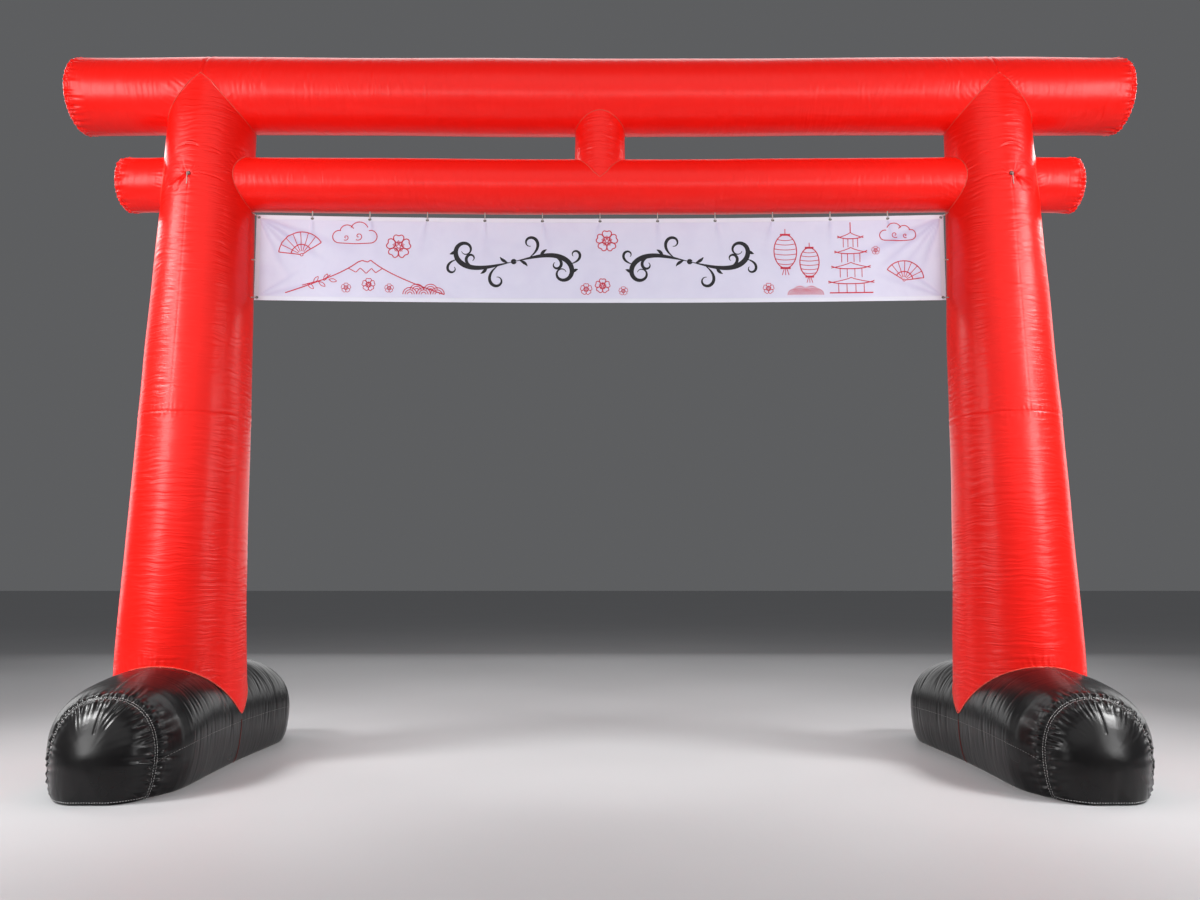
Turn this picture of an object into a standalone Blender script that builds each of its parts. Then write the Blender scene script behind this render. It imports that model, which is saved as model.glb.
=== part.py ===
"""Inflatable gate arch: two tapered pillars on long floor tubes carry two cross beams.

The red tubes and the black floor tubes are sewn panels, closed at their ends by gathered discs.
A cloth banner hangs under the lower beam from eyelets and short cord loops.
Units are metres, +Z is up, the floor is z = 0 and the gate faces -Y. The origin is on the
floor under the middle of the gate.
"""

import math

import bmesh
import bpy
import numpy as np
from mathutils import Matrix, Vector

GAP = 0.0003  # between two pieces that touch
WELD = 0.00001

# Cross beams. Each is a middle tube and two stubs, joined at the pillars.
TOP_AXIS = 3.816
TOP_RADIUS = 0.217
TOP_END = 3.070
LOWER_AXIS = 3.2646
LOWER_RADIUS = 0.156
LOWER_END = 2.770
JOIN = 2.272  # where the middle tube of the top beam meets its stubs
TOP_SAG = 0.012
LOWER_SAG = 0.016
END_DROOP = 0.006
END_BULGE = 0.042  # how far the top beam's end discs stand out
BEAM_SIDES = 32
BEAM_STEPS = 12  # along the middle tube
DISC_STEPS = 5
DISC_RIM = 0.004  # the straight edge behind a disc's crown
CUTTER_OVERRUN = 0.6  # how far the top beam's cutter runs past each pillar's middle

# Pillars: section rows up the height. The top rows are deeper than wide, to lap the top beam.
PILLAR_SIDES = 32
PILLAR_STEP = 0.45  # no two rings of a pillar are further apart
PILLAR_SEAM = 1.870  # height of the seam between the lower and the upper panel
PILLAR_ROWS = (
    # height, centre x, half width, half depth
    (0.220, 2.264, 0.3285, 0.3400),
    (0.300, 2.267, 0.3310, 0.3380),
    (0.400, 2.271, 0.3335, 0.3350),
    (0.900, 2.282, 0.3190, 0.3190),
    (1.500, 2.284, 0.3020, 0.3020),
    (2.100, 2.283, 0.2870, 0.2870),
    (2.500, 2.282, 0.2745, 0.2745),
    (2.800, 2.283, 0.2640, 0.2640),
    (3.100, 2.285, 0.2545, 0.2545),
    (3.450, 2.286, 0.2450, 0.2450),
    (3.600, 2.286, 0.2420, 0.2380),
    (3.690, 2.284, 0.2410, 0.2290),
    (3.790, 2.280, 0.2400, 0.2210),
    (3.818, 2.2785, 0.2395, 0.2192),
    (3.838, 2.277, 0.2390, 0.2156),
    (3.852, 2.277, 0.2385, 0.2118),
)

# Centre strut between the beams.
STRUT_WIDTH = 0.292
STRUT_DEPTH_TOP = 0.300
STRUT_DEPTH_FOOT = 2 * LOWER_RADIUS
STRUT_SIDES = 24
STRUT_STEPS = 5
STRUT_ROOM = 0.8  # the beams' cutters reach this far either side of the strut

# Floor tubes: section rows from the middle of the tube to its nose.
FOOT_X = 2.265
TOE_OUT = math.radians(0.9)  # the front ends point a little away from the middle
FOOT_BEND = 0.050  # both ends bend in towards the gate: the shift at a reach of 1 m
FOOT_SIDES = 28
FOOT_FULLNESS = 2.2  # the upper half of a section is a superellipse of this power
FOOT_ROWS = (
    # reach, half width, top, widest height, floor half width, underside
    (0.000, 0.331, 0.534, 0.220, 0.287, 0.000),
    (0.360, 0.340, 0.532, 0.220, 0.290, 0.000),
    (0.500, 0.342, 0.520, 0.218, 0.289, 0.000),
    (0.620, 0.339, 0.503, 0.214, 0.284, 0.000),
    (0.700, 0.322, 0.484, 0.204, 0.270, 0.000),
    (0.750, 0.298, 0.468, 0.192, 0.250, 0.000),
    (0.800, 0.268, 0.450, 0.175, 0.226, 0.000),
    (0.840, 0.236, 0.426, 0.158, 0.200, 0.000),
    (0.890, 0.206, 0.380, 0.152, 0.175, 0.000),
    (0.930, 0.168, 0.322, 0.147, 0.140, 0.000),
    (0.962, 0.117, 0.250, 0.143, 0.092, 0.004),
    (0.980, 0.055, 0.190, 0.138, 0.034, 0.060),
)
RING_TOP = (0.822, 0.438)  # reach and height of the end disc's seam at its top
RING_FLOOR = (0.842, 0.000)

# Banner.
BANNER_TOP_HALF = 2.000
BANNER_FOOT_HALF = 1.990
BANNER_TOP_MIDDLE = 3.057
BANNER_TOP_RISE = 0.024  # from the middle to a corner
BANNER_FOOT_MIDDLE = 2.5516
BANNER_FOOT_RISE = 0.0165
CLOTH = 0.002
FOLD_DEPTH = 0.007
FOLDS = (
    # share of the depth, turn across, turn down, start
    (0.6, 9.5, 1.3, 0.0),
    (0.4, 23.0, -2.1, 1.0),
)
HEM = 0.07  # share of the height that stays flat at the top and the foot
BANNER_COLUMNS = 36
BANNER_ROWS = (0.0, 0.07, 0.22, 0.40, 0.60, 0.78, 0.93, 1.0)

# Eyelets and the loops that tie the banner up.
EYELET_PITCH = 0.335
EYELET_COUNT = 11  # along the top edge, between the two corner eyelets
CORNER_EYELET_X = 1.984
EYELET_INSET = 0.016  # centre of an eyelet from the edge of the cloth
EYELET_RADIUS = 0.0100
EYELET_BARREL = 0.0060
EYELET_HOLE = 0.0048
HOLE_IN_CLOTH = EYELET_BARREL + GAP
FLANGE = 0.0010
EYELET_STEPS = 8
CORD_RADIUS = 0.0018
CORD_SIDES = 6
LOOP_HALF = 0.0065  # half the width of a loop, front to back
LOOP_TURNS = 4  # points round each end of a loop
TIE_CLEARANCE = 0.0004  # on top of GAP, because the beams and pillars are faceted
CORNER_TIE_DROP = 0.010

# Eyelet and cord tail on the front of each pillar.
PILLAR_EYELET_HEIGHT = 3.224
PILLAR_EYELET_TURN = math.radians(3.0)  # away from straight ahead, to the outer side
PILLAR_EYELET_RADIUS = 0.0115
PILLAR_EYELET_HOLE = 0.0055
PILLAR_EYELET_THICK = 0.0035
PILLAR_EYELET_LIP = 0.0020
PILLAR_EYELET_STEPS = 14
TAIL_SIDES = 8
TAIL_RADIUS = 0.0025
TAIL_ROUTE = (
    # out from the pillar, down from the eyelet's middle
    (0.0010, 0.0000),
    (0.0060, 0.0000),
    (0.0095, -0.0020),
    (0.0115, -0.0065),
    (0.0120, -0.0140),
    (0.0118, -0.0240),
    (0.0114, -0.0350),
    (0.0112, -0.0470),
    (0.0114, -0.0590),
    (0.0118, -0.0680),
)


def clear_scene():
    for old in list(bpy.data.objects):
        bpy.data.objects.remove(old)


def collection(name):
    made = bpy.data.collections.new(name)
    bpy.context.scene.collection.children.link(made)
    return made


def finish(name, colour, roughness, metallic=0.0):
    made = bpy.data.materials.new(name)
    made.use_nodes = True
    shader = made.node_tree.nodes["Principled BSDF"]
    shader.inputs["Base Color"].default_value = (*colour, 1.0)
    shader.inputs["Roughness"].default_value = roughness
    shader.inputs["Metallic"].default_value = metallic
    return made


def place(name, mesh, material, home=None):
    """Link a mesh as a named object of the arch, or as a cutter where home is CUTTERS."""
    made = bpy.data.objects.new(name, mesh)
    (home or ARCH).objects.link(made)
    if material:
        mesh.materials.append(material)
    mesh.shade_smooth()
    mesh.set_sharp_from_angle(angle=math.radians(40))
    if home is CUTTERS:
        made.hide_render = True
        made.display_type = "WIRE"
    return made


def skin(name, rings):
    """A closed body lofted through rings of points that all hold the same count.

    Every skin is split into triangles the same way, so a grown one stays clear of its original.
    """
    body = bmesh.new()
    loops = []
    for ring in rings:
        corners = [body.verts.new(point) for point in ring]
        loops.append([body.edges.new(pair) for pair in zip(corners, corners[1:] + corners[:1])])
    for lower, upper in zip(loops, loops[1:]):
        bmesh.ops.bridge_loops(body, edges=lower + upper)
    for end in (loops[0], loops[-1]):
        bmesh.ops.contextual_create(body, geom=end)
    bmesh.ops.triangulate(body, faces=body.faces, quad_method="FIXED")
    bmesh.ops.recalc_face_normals(body, faces=body.faces)
    mesh = bpy.data.meshes.new(name)
    body.to_mesh(mesh)
    body.free()
    return mesh


def tube(name, points, radii, sides, cyclic=False):
    """A round tube along points, one radius for each, as a mesh with welded caps."""
    curve = bpy.data.curves.new(name, "CURVE")
    curve.dimensions = "3D"
    curve.bevel_depth = 1.0
    curve.bevel_resolution = (sides - 4) // 2
    curve.use_fill_caps = not cyclic
    spline = curve.splines.new("POLY")
    spline.use_cyclic_u = cyclic
    spline.points.add(len(points) - 1)
    for spot, point, radius in zip(spline.points, points, radii):
        spot.co = (*point, 1.0)
        spot.radius = radius
    guide = bpy.data.objects.new(name, curve)
    bpy.context.scene.collection.objects.link(guide)
    bpy.context.view_layer.update()
    shown = guide.evaluated_get(bpy.context.evaluated_depsgraph_get())
    mesh = bpy.data.meshes.new_from_object(shown)
    bpy.data.objects.remove(guide)
    bpy.data.curves.remove(curve)
    body = bmesh.new()
    body.from_mesh(mesh)
    bmesh.ops.remove_doubles(body, verts=body.verts, dist=WELD)
    bmesh.ops.recalc_face_normals(body, faces=body.faces)
    body.to_mesh(mesh)
    body.free()
    return mesh


def turned(name, profile, steps, material, matrix):
    """A profile of (radius, height) points turned round Z, then stood at matrix."""
    body = bmesh.new()
    corners = [body.verts.new((radius, 0, height)) for radius, height in profile]
    for pair in zip(corners, corners[1:]):
        body.edges.new(pair)
    if profile[0][0] > 0:
        body.edges.new((corners[-1], corners[0]))
    mesh = bpy.data.meshes.new(name)
    body.to_mesh(mesh)
    body.free()
    made = place(name, mesh, material)
    made.matrix_world = matrix
    screw = made.modifiers.new("turn", "SCREW")
    screw.steps = screw.render_steps = steps
    screw.use_merge_vertices = True
    screw.merge_threshold = WELD
    return made


def cut(target, *cutters):
    for cutter in cutters:
        step = target.modifiers.new("cut_" + cutter.name, "BOOLEAN")
        step.operation = "DIFFERENCE"
        step.object = cutter


def beam_height(axis, sag, x):
    """Height of a beam's axis: it sags between the pillars and its stubs droop."""
    if abs(x) < JOIN:
        return axis - sag * (1 - (x / JOIN) ** 2) ** 2
    return axis - END_DROOP * (1 - math.cos(math.pi * (abs(x) - JOIN) / (TOP_END - JOIN))) / 2


def beam_stations(start, end, steps):
    return [start + (end - start) * i / steps for i in range(steps + 1)]


def beam(name, axis, radius, sag, stations):
    """A beam tube whose rings, and so its ends, all stand square to X."""
    points = [(x, 0, beam_height(axis, sag, x)) for x in stations]
    mesh = tube(name, points, [radius] * len(points), BEAM_SIDES)
    for corner in mesh.vertices:
        corner.co.x = min(stations, key=lambda x: abs(x - corner.co.x))
    return mesh


def end_disc(name, side, axis, sag, radius, end, bulge):
    """The crowned round of cloth that closes a beam."""
    crown = [
        (radius * math.sin(turn), bulge * math.cos(turn))
        for turn in np.linspace(0, math.pi / 2, DISC_STEPS)
    ]
    profile = [(0, bulge)] + crown[1:] + [(radius, -DISC_RIM), (0, -DISC_RIM)]
    centre = Vector((side * (end + DISC_RIM + GAP), 0, beam_height(axis, sag, end)))
    matrix = Matrix.Translation(centre) @ Matrix.Rotation(side * math.pi / 2, 4, "Y")
    return turned(name, profile, BEAM_SIDES, RED, matrix)


def pillar_row(height):
    """Centre x, half width and half depth of a pillar at a height."""
    rows = np.array(PILLAR_ROWS)
    return [float(np.interp(height, rows[:, 0], rows[:, column])) for column in (1, 2, 3)]


def inner_face(height):
    """Distance of a pillar's inner side from the middle of the gate."""
    centre, wide, _ = pillar_row(height)
    return centre - wide


def pillar_rings(side, heights, grow=0.0):
    rings = []
    for height in heights:
        centre, wide, deep = pillar_row(height)
        rings.append([
            (
                side * centre + (wide + grow) * math.cos(turn),
                (deep + grow) * math.sin(turn),
                height,
            )
            for turn in np.linspace(0, 2 * math.pi, PILLAR_SIDES, endpoint=False)
        ])
    return rings


def foot_section(row, grow):
    """Points of a floor tube's section, (across, height), from the middle of its flat floor."""
    wide, top, widest, floor_half, under = row
    wide, top, floor_half, under = wide + grow, top + grow, floor_half + grow, under - grow
    power = 2 / FOOT_FULLNESS
    side = []
    for turn in np.linspace(0, math.pi / 2, 5):
        across = floor_half + (wide - floor_half) * math.sin(turn)
        side.append((across, widest - (widest - under) * math.cos(turn)))
    for turn in np.linspace(0, math.pi / 2, FOOT_SIDES // 4 + 2)[1:-1]:
        rise = (top - widest) * math.sin(turn) ** power
        side.append((wide * math.cos(turn) ** power, widest + rise))
    mirrored = [(-across, height) for across, height in reversed(side)]
    return [(0, under)] + side + [(0, top)] + mirrored


def foot_rings(side, grow=0.0):
    rows = FOOT_ROWS[:0:-1] + FOOT_ROWS
    reaches = [-row[0] for row in FOOT_ROWS[:0:-1]] + [row[0] for row in FOOT_ROWS]
    turn = Matrix.Rotation(side * TOE_OUT, 4, "Z")
    home = Matrix.Translation((side * FOOT_X, 0, 0)) @ turn
    end_grow = grow / reaches[-1]
    return [
        [
            home @ Vector((across - side * FOOT_BEND * reach**2, reach * (1 + end_grow), height))
            for across, height in foot_section(row[1:], grow)
        ]
        for reach, row in zip(reaches, rows)
    ]


def keep_between(mesh, planes):
    """Cut a closed mesh by (point, normal) planes and keep what lies behind each normal."""
    body = bmesh.new()
    body.from_mesh(mesh)
    for point, normal in planes:
        everything = body.verts[:] + body.edges[:] + body.faces[:]
        found = bmesh.ops.bisect_plane(
            body, geom=everything, dist=WELD, plane_co=point, plane_no=normal, clear_outer=True
        )
        edges = [item for item in found["geom_cut"] if isinstance(item, bmesh.types.BMEdge)]
        bmesh.ops.contextual_create(body, geom=edges)
    bmesh.ops.recalc_face_normals(body, faces=body.faces)
    body.to_mesh(mesh)
    body.free()
    return mesh


def add_feet():
    """Each floor tube: a front and a rear body that meet under the pillar, and two end discs."""
    for side, word in ((-1, "left"), (1, "right")):
        home = Matrix.Translation((side * FOOT_X, 0, 0)) @ Matrix.Rotation(side * TOE_OUT, 4, "Z")
        for end, part_word in ((-1, "front"), (1, "rear")):
            axis = Vector((0, end, 0))
            ring_point = Vector((0, end * RING_TOP[0], RING_TOP[1]))
            run = Vector((0, end * (RING_FLOOR[0] - RING_TOP[0]), RING_FLOOR[1] - RING_TOP[1]))
            out = Vector((0, -end * run.z, end * run.y)).normalized()
            facing = home.to_3x3()
            middle = (home @ (axis * GAP / 2), facing @ -axis)
            ring_in = (home @ (ring_point - out * GAP / 2), facing @ out)
            ring_out = (home @ (ring_point + out * GAP / 2), facing @ -out)
            name = f"foot_{word}_{part_word}"
            place(name, keep_between(skin(name, foot_rings(side)), (middle, ring_in)), BLACK)
            name += "_end"
            place(name, keep_between(skin(name, foot_rings(side)), (middle, ring_out)), BLACK)


def add_beams():
    """The top beam is whole; the lower beam is cut where it runs into the pillars."""
    middle = beam_stations(-JOIN + GAP / 2, JOIN - GAP / 2, BEAM_STEPS)
    place("top_beam_middle", beam("top_beam_middle", TOP_AXIS, TOP_RADIUS, TOP_SAG, middle), RED)
    lower = beam("lower_beam_middle", LOWER_AXIS, LOWER_RADIUS, LOWER_SAG,
                 beam_stations(-JOIN, JOIN, BEAM_STEPS))
    lower = place("lower_beam_middle", lower, RED)
    for side, word in ((-1, "left"), (1, "right")):
        grown = skin("room_pillar_" + word, pillar_rings(side, PILLAR_HEIGHTS, GAP))
        pillar_room = place("room_pillar_" + word, grown, None, CUTTERS)
        cut(lower, pillar_room)
        stations = beam_stations(side * (JOIN + GAP / 2), side * TOP_END, 4)
        name = "top_beam_" + word
        place(name, beam(name, TOP_AXIS, TOP_RADIUS, TOP_SAG, stations), RED)
        end_disc("top_beam_end_" + word, side, TOP_AXIS, TOP_SAG, TOP_RADIUS, TOP_END, END_BULGE)
        stations = beam_stations(side * (JOIN + GAP / 2), side * LOWER_END, 3)
        name = "lower_beam_" + word
        stub = place(name, beam(name, LOWER_AXIS, LOWER_RADIUS, LOWER_SAG, stations), RED)
        cut(stub, pillar_room)
        bulge = END_BULGE * LOWER_RADIUS / TOP_RADIUS
        end_disc("lower_beam_end_" + word, side, LOWER_AXIS, LOWER_SAG, LOWER_RADIUS,
                 LOWER_END, bulge)


def add_pillars():
    """Each pillar is saddled over its floor tube and laps the top beam front and back."""
    outer = JOIN + CUTTER_OVERRUN
    whole = beam_stations(-outer, -JOIN, 3) + beam_stations(-JOIN, JOIN, BEAM_STEPS)[1:]
    whole += beam_stations(JOIN, outer, 3)[1:]
    room = beam("room_top_beam", TOP_AXIS, TOP_RADIUS + GAP, TOP_SAG, whole)
    beam_room = place("room_top_beam", room, None, CUTTERS)
    for side, word in ((-1, "left"), (1, "right")):
        room = skin("room_foot_" + word, foot_rings(side, GAP))
        foot_room = place("room_foot_" + word, room, None, CUTTERS)
        heights = [z for z in PILLAR_HEIGHTS if z < PILLAR_SEAM] + [PILLAR_SEAM - GAP / 2]
        name = f"pillar_{word}_lower"
        lower = place(name, skin(name, pillar_rings(side, heights)), RED)
        cut(lower, foot_room)
        heights = [PILLAR_SEAM + GAP / 2] + [z for z in PILLAR_HEIGHTS if z > PILLAR_SEAM]
        name = f"pillar_{word}_upper"
        upper = place(name, skin(name, pillar_rings(side, heights)), RED)
        cut(upper, beam_room)


def add_strut():
    """A short round post, mitred on to the fronts of both beams."""
    foot_height = beam_height(LOWER_AXIS, LOWER_SAG, 0)
    top_height = beam_height(TOP_AXIS, TOP_SAG, 0)
    rings = []
    for share in np.linspace(0, 1, STRUT_STEPS + 1):
        deep = (STRUT_DEPTH_FOOT + (STRUT_DEPTH_TOP - STRUT_DEPTH_FOOT) * share) / 2
        rings.append([
            (
                STRUT_WIDTH / 2 * math.cos(turn),
                deep * math.sin(turn),
                foot_height + (top_height - foot_height) * share,
            )
            for turn in np.linspace(0, 2 * math.pi, STRUT_SIDES, endpoint=False)
        ])
    strut = place("centre_strut", skin("centre_strut", rings), RED)
    stations = [x for x in beam_stations(-JOIN, JOIN, BEAM_STEPS) if abs(x) < STRUT_ROOM]
    for word, axis, radius, sag in (
        ("top", TOP_AXIS, TOP_RADIUS, TOP_SAG),
        ("lower", LOWER_AXIS, LOWER_RADIUS, LOWER_SAG),
    ):
        name = f"room_{word}_beam_at_strut"
        room = beam(name, axis, radius + GAP, sag, stations)
        cut(strut, place(name, room, None, CUTTERS))


def banner_point(across, down):
    """A point of the banner: across runs -1 to 1, down runs 0 at the top edge to 1."""
    top = BANNER_TOP_MIDDLE + BANNER_TOP_RISE * across**2
    foot = BANNER_FOOT_MIDDLE + BANNER_FOOT_RISE * across**2
    half = BANNER_TOP_HALF + (BANNER_FOOT_HALF - BANNER_TOP_HALF) * down
    inside = min(1, max(0, (down - HEM) / (1 - 2 * HEM)))
    slack = math.sin(math.pi * inside) * (1 - across**8)
    fold = sum(
        share * math.sin(turn_across * across + turn_down * down + start)
        for share, turn_across, turn_down, start in FOLDS
    )
    return Vector((half * across, FOLD_DEPTH * slack * fold, top + (foot - top) * down))


def eyelet_places():
    """Name, centre and where the tie goes, for each eyelet of the banner."""
    count = EYELET_COUNT
    spots = [("top_left", -CORNER_EYELET_X)]
    spots += [(f"top_{i + 1:02d}", (i - (count - 1) / 2) * EYELET_PITCH) for i in range(count)]
    spots += [("top_right", CORNER_EYELET_X)]
    places = []
    for word, x in spots:
        centre = banner_point(x / BANNER_TOP_HALF, 0) - Vector((0, 0, EYELET_INSET))
        reach = LOWER_RADIUS + GAP + CORD_RADIUS + TIE_CLEARANCE
        held = Vector((x, 0, beam_height(LOWER_AXIS, LOWER_SAG, x) - reach))
        if abs(x) == CORNER_EYELET_X:
            held.x = math.copysign(inner_face(held.z) - GAP - CORD_RADIUS - TIE_CLEARANCE, x)
            held.z -= CORNER_TIE_DROP
        places.append((word, centre, held))
    for side, word in ((-1, "bottom_left"), (1, "bottom_right")):
        foot = banner_point(side, 1)
        centre = foot + Vector((-side * EYELET_INSET, 0, EYELET_INSET))
        held = centre.copy()
        held.x = side * (inner_face(centre.z) - GAP - CORD_RADIUS - TIE_CLEARANCE)
        places.append((word, centre, held))
    return places


def add_banner(places):
    """A hung sheet with soft folds, straight along its hems, and a hole for each eyelet."""
    sheet = bmesh.new()
    bmesh.ops.create_grid(sheet, x_segments=BANNER_COLUMNS, y_segments=len(BANNER_ROWS) - 1,
                          size=1)
    for corner in sheet.verts:
        row = round((1 - corner.co.y) / 2 * (len(BANNER_ROWS) - 1))
        corner.co = banner_point(corner.co.x, BANNER_ROWS[row])
    mesh = bpy.data.meshes.new("banner")
    sheet.to_mesh(mesh)
    sheet.free()
    banner = place("banner", mesh, CLOTH_WHITE)
    shell = banner.modifiers.new("thickness", "SOLIDIFY")
    shell.thickness = CLOTH
    shell.offset = 0
    punch = bmesh.new()
    for _, centre, _ in places:
        spot = Matrix.Translation(centre) @ Matrix.Rotation(math.pi / 2, 4, "X")
        bmesh.ops.create_cone(punch, cap_ends=True, segments=EYELET_STEPS, radius1=HOLE_IN_CLOTH,
                              radius2=HOLE_IN_CLOTH, depth=5 * CLOTH, matrix=spot)
    mesh = bpy.data.meshes.new("room_eyelets")
    punch.to_mesh(mesh)
    punch.free()
    cut(banner, place("room_eyelets", mesh, None, CUTTERS))


def add_eyelets(places):
    """A metal eyelet is one ring with a flange on each face of the cloth."""
    face = CLOTH / 2 + GAP
    back = face + FLANGE
    profile = (
        (EYELET_HOLE, back),
        (EYELET_RADIUS, back),
        (EYELET_RADIUS, face),
        (EYELET_BARREL, face),
        (EYELET_BARREL, -face),
        (EYELET_RADIUS, -face),
        (EYELET_RADIUS, -back),
        (EYELET_HOLE, -back),
    )
    for word, centre, _ in places:
        spot = Matrix.Translation(centre) @ Matrix.Rotation(math.pi / 2, 4, "X")
        turned("eyelet_" + word, profile, EYELET_STEPS, METAL, spot)


def add_ties(places):
    """Each tie is a closed loop of cord, through its eyelet and up to where it is sewn on."""
    for word, centre, held in places:
        along = (held - centre).normalized()
        span = (held - centre).length
        depth = Vector((0, LOOP_HALF, 0))
        turns = np.linspace(0, math.pi, LOOP_TURNS)
        points = [
            centre + along * LOOP_HALF * (1 - math.sin(turn)) + depth * math.cos(turn)
            for turn in turns
        ]
        points += [
            centre + along * (span - LOOP_HALF * (1 - math.sin(turn))) - depth * math.cos(turn)
            for turn in turns
        ]
        mesh = tube("tie_" + word, points, [CORD_RADIUS] * len(points), CORD_SIDES, cyclic=True)
        place("tie_" + word, mesh, CORD_WHITE)


def add_pillar_eyelets():
    """A small eyelet on the front seam of each pillar, with the end of a cord hanging out."""
    centre, wide, deep = pillar_row(PILLAR_EYELET_HEIGHT)
    profile = (
        (PILLAR_EYELET_HOLE, PILLAR_EYELET_THICK),
        (PILLAR_EYELET_HOLE + PILLAR_EYELET_LIP, PILLAR_EYELET_THICK * 1.2),
        (PILLAR_EYELET_RADIUS - PILLAR_EYELET_LIP, PILLAR_EYELET_THICK),
        (PILLAR_EYELET_RADIUS, PILLAR_EYELET_THICK / 3),
        (PILLAR_EYELET_RADIUS, 0.0),
        (PILLAR_EYELET_HOLE, 0.0),
    )
    for side, word in ((-1, "left"), (1, "right")):
        turn = side * PILLAR_EYELET_TURN
        out = Vector((math.sin(turn), -math.cos(turn), 0))
        foot = Vector((side * centre + wide * math.sin(turn), -deep * math.cos(turn),
                       PILLAR_EYELET_HEIGHT))
        flat = out.to_track_quat("Z", "Y").to_matrix().to_4x4()
        spot = Matrix.Translation(foot + out * 2 * GAP) @ flat
        turned("pillar_eyelet_" + word, profile, PILLAR_EYELET_STEPS, METAL, spot)
        route = [foot + out * forth + Vector((0, 0, down)) for forth, down in TAIL_ROUTE]
        mesh = tube("tail_" + word, route, [TAIL_RADIUS] * len(route), TAIL_SIDES)
        place("tail_" + word, mesh, CORD_WHITE)


def pillar_heights():
    """The heights of the table's rows, with even steps between the far-apart ones."""
    heights = []
    for lower, upper in zip(PILLAR_ROWS, PILLAR_ROWS[1:]):
        steps = max(1, round((upper[0] - lower[0]) / PILLAR_STEP))
        heights += [lower[0] + (upper[0] - lower[0]) * i / steps for i in range(steps)]
    return heights + [PILLAR_ROWS[-1][0]]


clear_scene()
PILLAR_HEIGHTS = pillar_heights()
ARCH = collection("inflatable_arch")
CUTTERS = collection("cutters")
RED = finish("red_pvc", (0.72, 0.012, 0.006), 0.32)
BLACK = finish("black_pvc", (0.012, 0.012, 0.014), 0.35)
CLOTH_WHITE = finish("banner_cloth", (0.72, 0.68, 0.80), 0.75)
CORD_WHITE = finish("white_cord", (0.70, 0.66, 0.60), 0.80)
METAL = finish("eyelet_metal", (0.62, 0.60, 0.58), 0.35, 1.0)
add_feet()
add_pillars()
add_beams()
add_strut()
PLACES = eyelet_places()
add_banner(PLACES)
add_eyelets(PLACES)
add_ties(PLACES)
add_pillar_eyelets()
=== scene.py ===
"""Dresses the inflatable gate arch: glossy coated tubes, gathered ends, seams, banner and cords.

Metres, +Z up, floor at z = 0, gate facing -Y. Sections follow the gate as it is put together.
"""

import math

import bmesh
import bpy
import numpy as np
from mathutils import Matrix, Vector
from mathutils.kdtree import KDTree


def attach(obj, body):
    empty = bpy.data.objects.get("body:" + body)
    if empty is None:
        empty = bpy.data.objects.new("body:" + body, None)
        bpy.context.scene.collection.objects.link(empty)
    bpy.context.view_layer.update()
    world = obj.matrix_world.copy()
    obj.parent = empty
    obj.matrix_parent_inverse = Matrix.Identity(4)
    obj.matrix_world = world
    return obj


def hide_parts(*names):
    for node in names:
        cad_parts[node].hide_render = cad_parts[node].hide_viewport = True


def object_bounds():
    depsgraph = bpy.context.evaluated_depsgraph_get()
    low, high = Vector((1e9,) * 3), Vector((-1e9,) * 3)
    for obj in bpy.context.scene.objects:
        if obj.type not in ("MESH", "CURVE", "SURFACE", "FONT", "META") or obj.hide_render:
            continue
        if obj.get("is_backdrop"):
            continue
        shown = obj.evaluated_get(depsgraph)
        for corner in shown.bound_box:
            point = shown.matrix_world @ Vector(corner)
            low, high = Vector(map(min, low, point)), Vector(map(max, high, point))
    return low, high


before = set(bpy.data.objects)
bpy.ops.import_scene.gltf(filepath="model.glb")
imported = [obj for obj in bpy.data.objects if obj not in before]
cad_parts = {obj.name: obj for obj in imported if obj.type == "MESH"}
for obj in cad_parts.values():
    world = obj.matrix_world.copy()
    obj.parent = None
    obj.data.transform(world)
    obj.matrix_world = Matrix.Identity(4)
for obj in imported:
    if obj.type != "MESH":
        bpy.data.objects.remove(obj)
cad_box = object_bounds()

# ---------------------------------------------------------------- floor tubes
# Two black floor tubes of coated polyester carry the pillars. Each is sewn from panels round a
# straight tube, and both ends are gathered on to a crowned end cap with a double row of stitches.

FOOT_X = 2.265  # of a tube's middle from the gate's middle
FOOT_TURN = math.radians(0.9)  # the tubes stand that much wider apart towards the front
FOOT_BEND = 0.050  # both ends curve inwards, by this times the square of their reach
FOOT_POWER = 2.2  # of the curve over the top: 2 would be an ellipse
FOOT_ROWS = np.array([
    # reach, half width, top, widest height, floor half width, underside
    (0.000, 0.331, 0.534, 0.220, 0.287, 0.000),
    (0.360, 0.340, 0.532, 0.220, 0.290, 0.000),
    (0.500, 0.342, 0.520, 0.218, 0.289, 0.000),
    (0.620, 0.340, 0.503, 0.214, 0.284, 0.000),
    (0.700, 0.323, 0.484, 0.204, 0.270, 0.000),
    (0.750, 0.300, 0.468, 0.192, 0.250, 0.000),
    (0.800, 0.270, 0.450, 0.175, 0.226, 0.000),
    (0.840, 0.238, 0.426, 0.158, 0.200, 0.000),
    (0.890, 0.208, 0.381, 0.152, 0.175, 0.000),
    (0.930, 0.170, 0.322, 0.147, 0.140, 0.000),
    (0.962, 0.118, 0.250, 0.143, 0.090, 0.004),
    (0.978, 0.066, 0.198, 0.139, 0.042, 0.050),
    (0.984, 0.000, 0.138, 0.138, 0.000, 0.138),
])
RING_TOP = (0.822, 0.438)  # reach and height of the stitched ring's highest place
RING_RUN = 0.020  # how much further out the ring is at the floor
FOOT_COLUMNS = (24, 52, 136)  # over half the floor, the lower side and the upper side
BODY_STEPS, CAP_STEPS = 136, 64
BODY_GAP = 0.00015  # between the two halves of a tube, at their seam
STITCH_GATHER = 0.030  # from one fold to the next along the stitched ring
SHARP_EDGE = math.radians(60)  # a sharper one isn't shaded as round
GRAIN_DEPTH = 0.00003  # of the cloth's weave under its coating


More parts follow.
